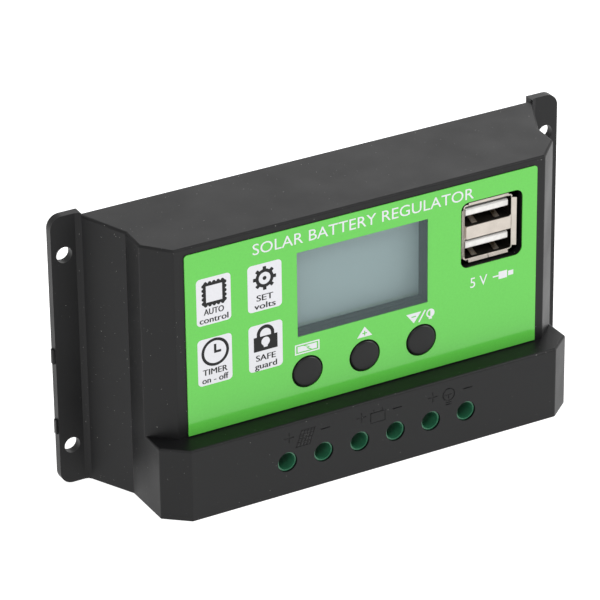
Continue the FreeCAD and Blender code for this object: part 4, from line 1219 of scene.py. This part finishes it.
# ---------------------------------------------------------------- stage
class CONTROLLER_OT_stage(bpy.types.Operator):
    """White floor, white room, two soft lights and the camera"""
    bl_idname = "controller.stage"
    bl_label = "Stage"

    def execute(self, context):
        settings = context.scene.stage_look
        self.floor(settings)
        self.room(context.scene, settings)
        self.lights()
        self.camera(context.scene, settings)
        return {"FINISHED"}

    def floor(self, settings):
        """Painted white board, large enough to have no edge in view, a hair below the case's lower end."""
        half = 3.0
        level = CAD_BOX[0].z - 0.2 * MM
        mesh = bpy.data.meshes.new("floor")
        corners = [(-half, -half, level), (half, -half, level), (half, half, level), (-half, half, level)]
        mesh.from_pydata(corners, [], [(0, 1, 2, 3)])
        material, tree, shader = new_material("white floor paint", Specular_IOR_Level=0.0,
                                              Emission_Color=linear("#FFFFFF"), Emission_Strength=0.9)
        tone = surface_noise(tree, 60.0)
        tree.links.new(tinted(tree, tone, shade(settings.floor, 0.98), settings.floor[:]),
                       shader.inputs["Base Color"])
        shader.inputs["Roughness"].default_value = 0.9
        mesh.materials.append(material)
        floor = bpy.data.objects.new("floor", mesh)
        bpy.context.scene.collection.objects.link(floor)

    def room(self, scene, settings):
        """Even white light from all round."""
        world = bpy.data.worlds.new("white room")
        world.use_nodes = True
        background = world.node_tree.nodes["Background"]
        background.inputs["Color"].default_value = linear("#FFFFFF")
        background.inputs["Strength"].default_value = settings.room
        scene.world = world

    def lights(self):
        """Soft boxes: over the left shoulder, at the right, and behind for a sheen on the top."""
        for name, place, size, power in (("key box", (-0.9, -1.3, 1.5), 0.45, 8.0),
                                         ("side box", (1.2, -0.6, 0.8), 0.9, 13.5),
                                         ("back box", (1.3, 1.6, 1.0), 1.2, 6.5)):
            data = bpy.data.lights.new(name, "AREA")
            data.size = size
            data.energy = power
            light = bpy.data.objects.new(name, data)
            light.location = place
            light.rotation_mode = "QUATERNION"
            light.rotation_quaternion = Vector(place).to_track_quat("Z", "Y")
            bpy.context.scene.collection.objects.link(light)

    def camera(self, scene, settings):
        """Camera that looks down at the object's front from its left."""
        data = bpy.data.cameras.new("camera")
        data.lens = settings.lens
        data.sensor_width = 36.0
        data.clip_end = 20.0
        flat = math.cos(settings.tilt)
        back = Vector((-math.sin(settings.turn) * flat, -math.cos(settings.turn) * flat,
                       math.sin(settings.tilt)))
        right = Vector((0, 0, 1)).cross(back).normalized()
        up = back.cross(right)
        turned_right = right * math.cos(settings.roll) + up * math.sin(settings.roll)
        turned_up = up * math.cos(settings.roll) - right * math.sin(settings.roll)
        rotation = Matrix((turned_right, turned_up, back)).transposed().to_4x4()
        camera = bpy.data.objects.new("camera", data)
        camera.matrix_world = Matrix.Translation(settings.camera_place) @ rotation
        scene.collection.objects.link(camera)
        scene.camera = camera
        scene.view_settings.view_transform = "Standard"


# ---------------------------------------------------------------- panel and registration
class CONTROLLER_PT_sidebar(bpy.types.Panel):
    """Lists the pieces and the values that can be changed"""
    bl_idname = "CONTROLLER_PT_sidebar"
    bl_label = "Charge controller"
    bl_space_type = "VIEW_3D"
    bl_region_type = "UI"
    bl_category = "Controller"

    def draw(self, context):
        for name, group in SETTINGS.items():
            box = self.layout.box()
            box.label(text=group.__doc__)
            for key in group.__annotations__:
                box.prop(getattr(context.scene, name), key)
        for operator in OPERATORS:
            self.layout.operator(operator.bl_idname)


SETTINGS = {
    "case_look": CaseSettings,
    "label_look": LabelSettings,
    "display_look": DisplaySettings,
    "socket_look": SocketSettings,
    "key_look": KeySettings,
    "terminal_look": TerminalSettings,
    "stage_look": StageSettings,
}
OPERATORS = [CONTROLLER_OT_case, CONTROLLER_OT_fasteners, CONTROLLER_OT_label, CONTROLLER_OT_display,
             CONTROLLER_OT_sockets, CONTROLLER_OT_keys, CONTROLLER_OT_terminals, CONTROLLER_OT_electronics,
             CONTROLLER_OT_stage]


def register():
    for group in SETTINGS.values():
        bpy.utils.register_class(group)
    for name, group in SETTINGS.items():
        setattr(bpy.types.Scene, name, bpy.props.PointerProperty(type=group))
    for operator in OPERATORS:
        bpy.utils.register_class(operator)
    bpy.utils.register_class(CONTROLLER_PT_sidebar)


def unregister():
    bpy.utils.unregister_class(CONTROLLER_PT_sidebar)
    for operator in reversed(OPERATORS):
        bpy.utils.unregister_class(operator)
    for name, group in SETTINGS.items():
        delattr(bpy.types.Scene, name)
        bpy.utils.unregister_class(group)


def main():
    register()
    bpy.ops.controller.case()
    bpy.ops.controller.fasteners()
    bpy.ops.controller.label()
    bpy.ops.controller.display()
    bpy.ops.controller.sockets()
    bpy.ops.controller.keys()
    bpy.ops.controller.terminals()
    bpy.ops.controller.electronics()
    bpy.ops.controller.stage()


if __name__ == "__main__":
    main()
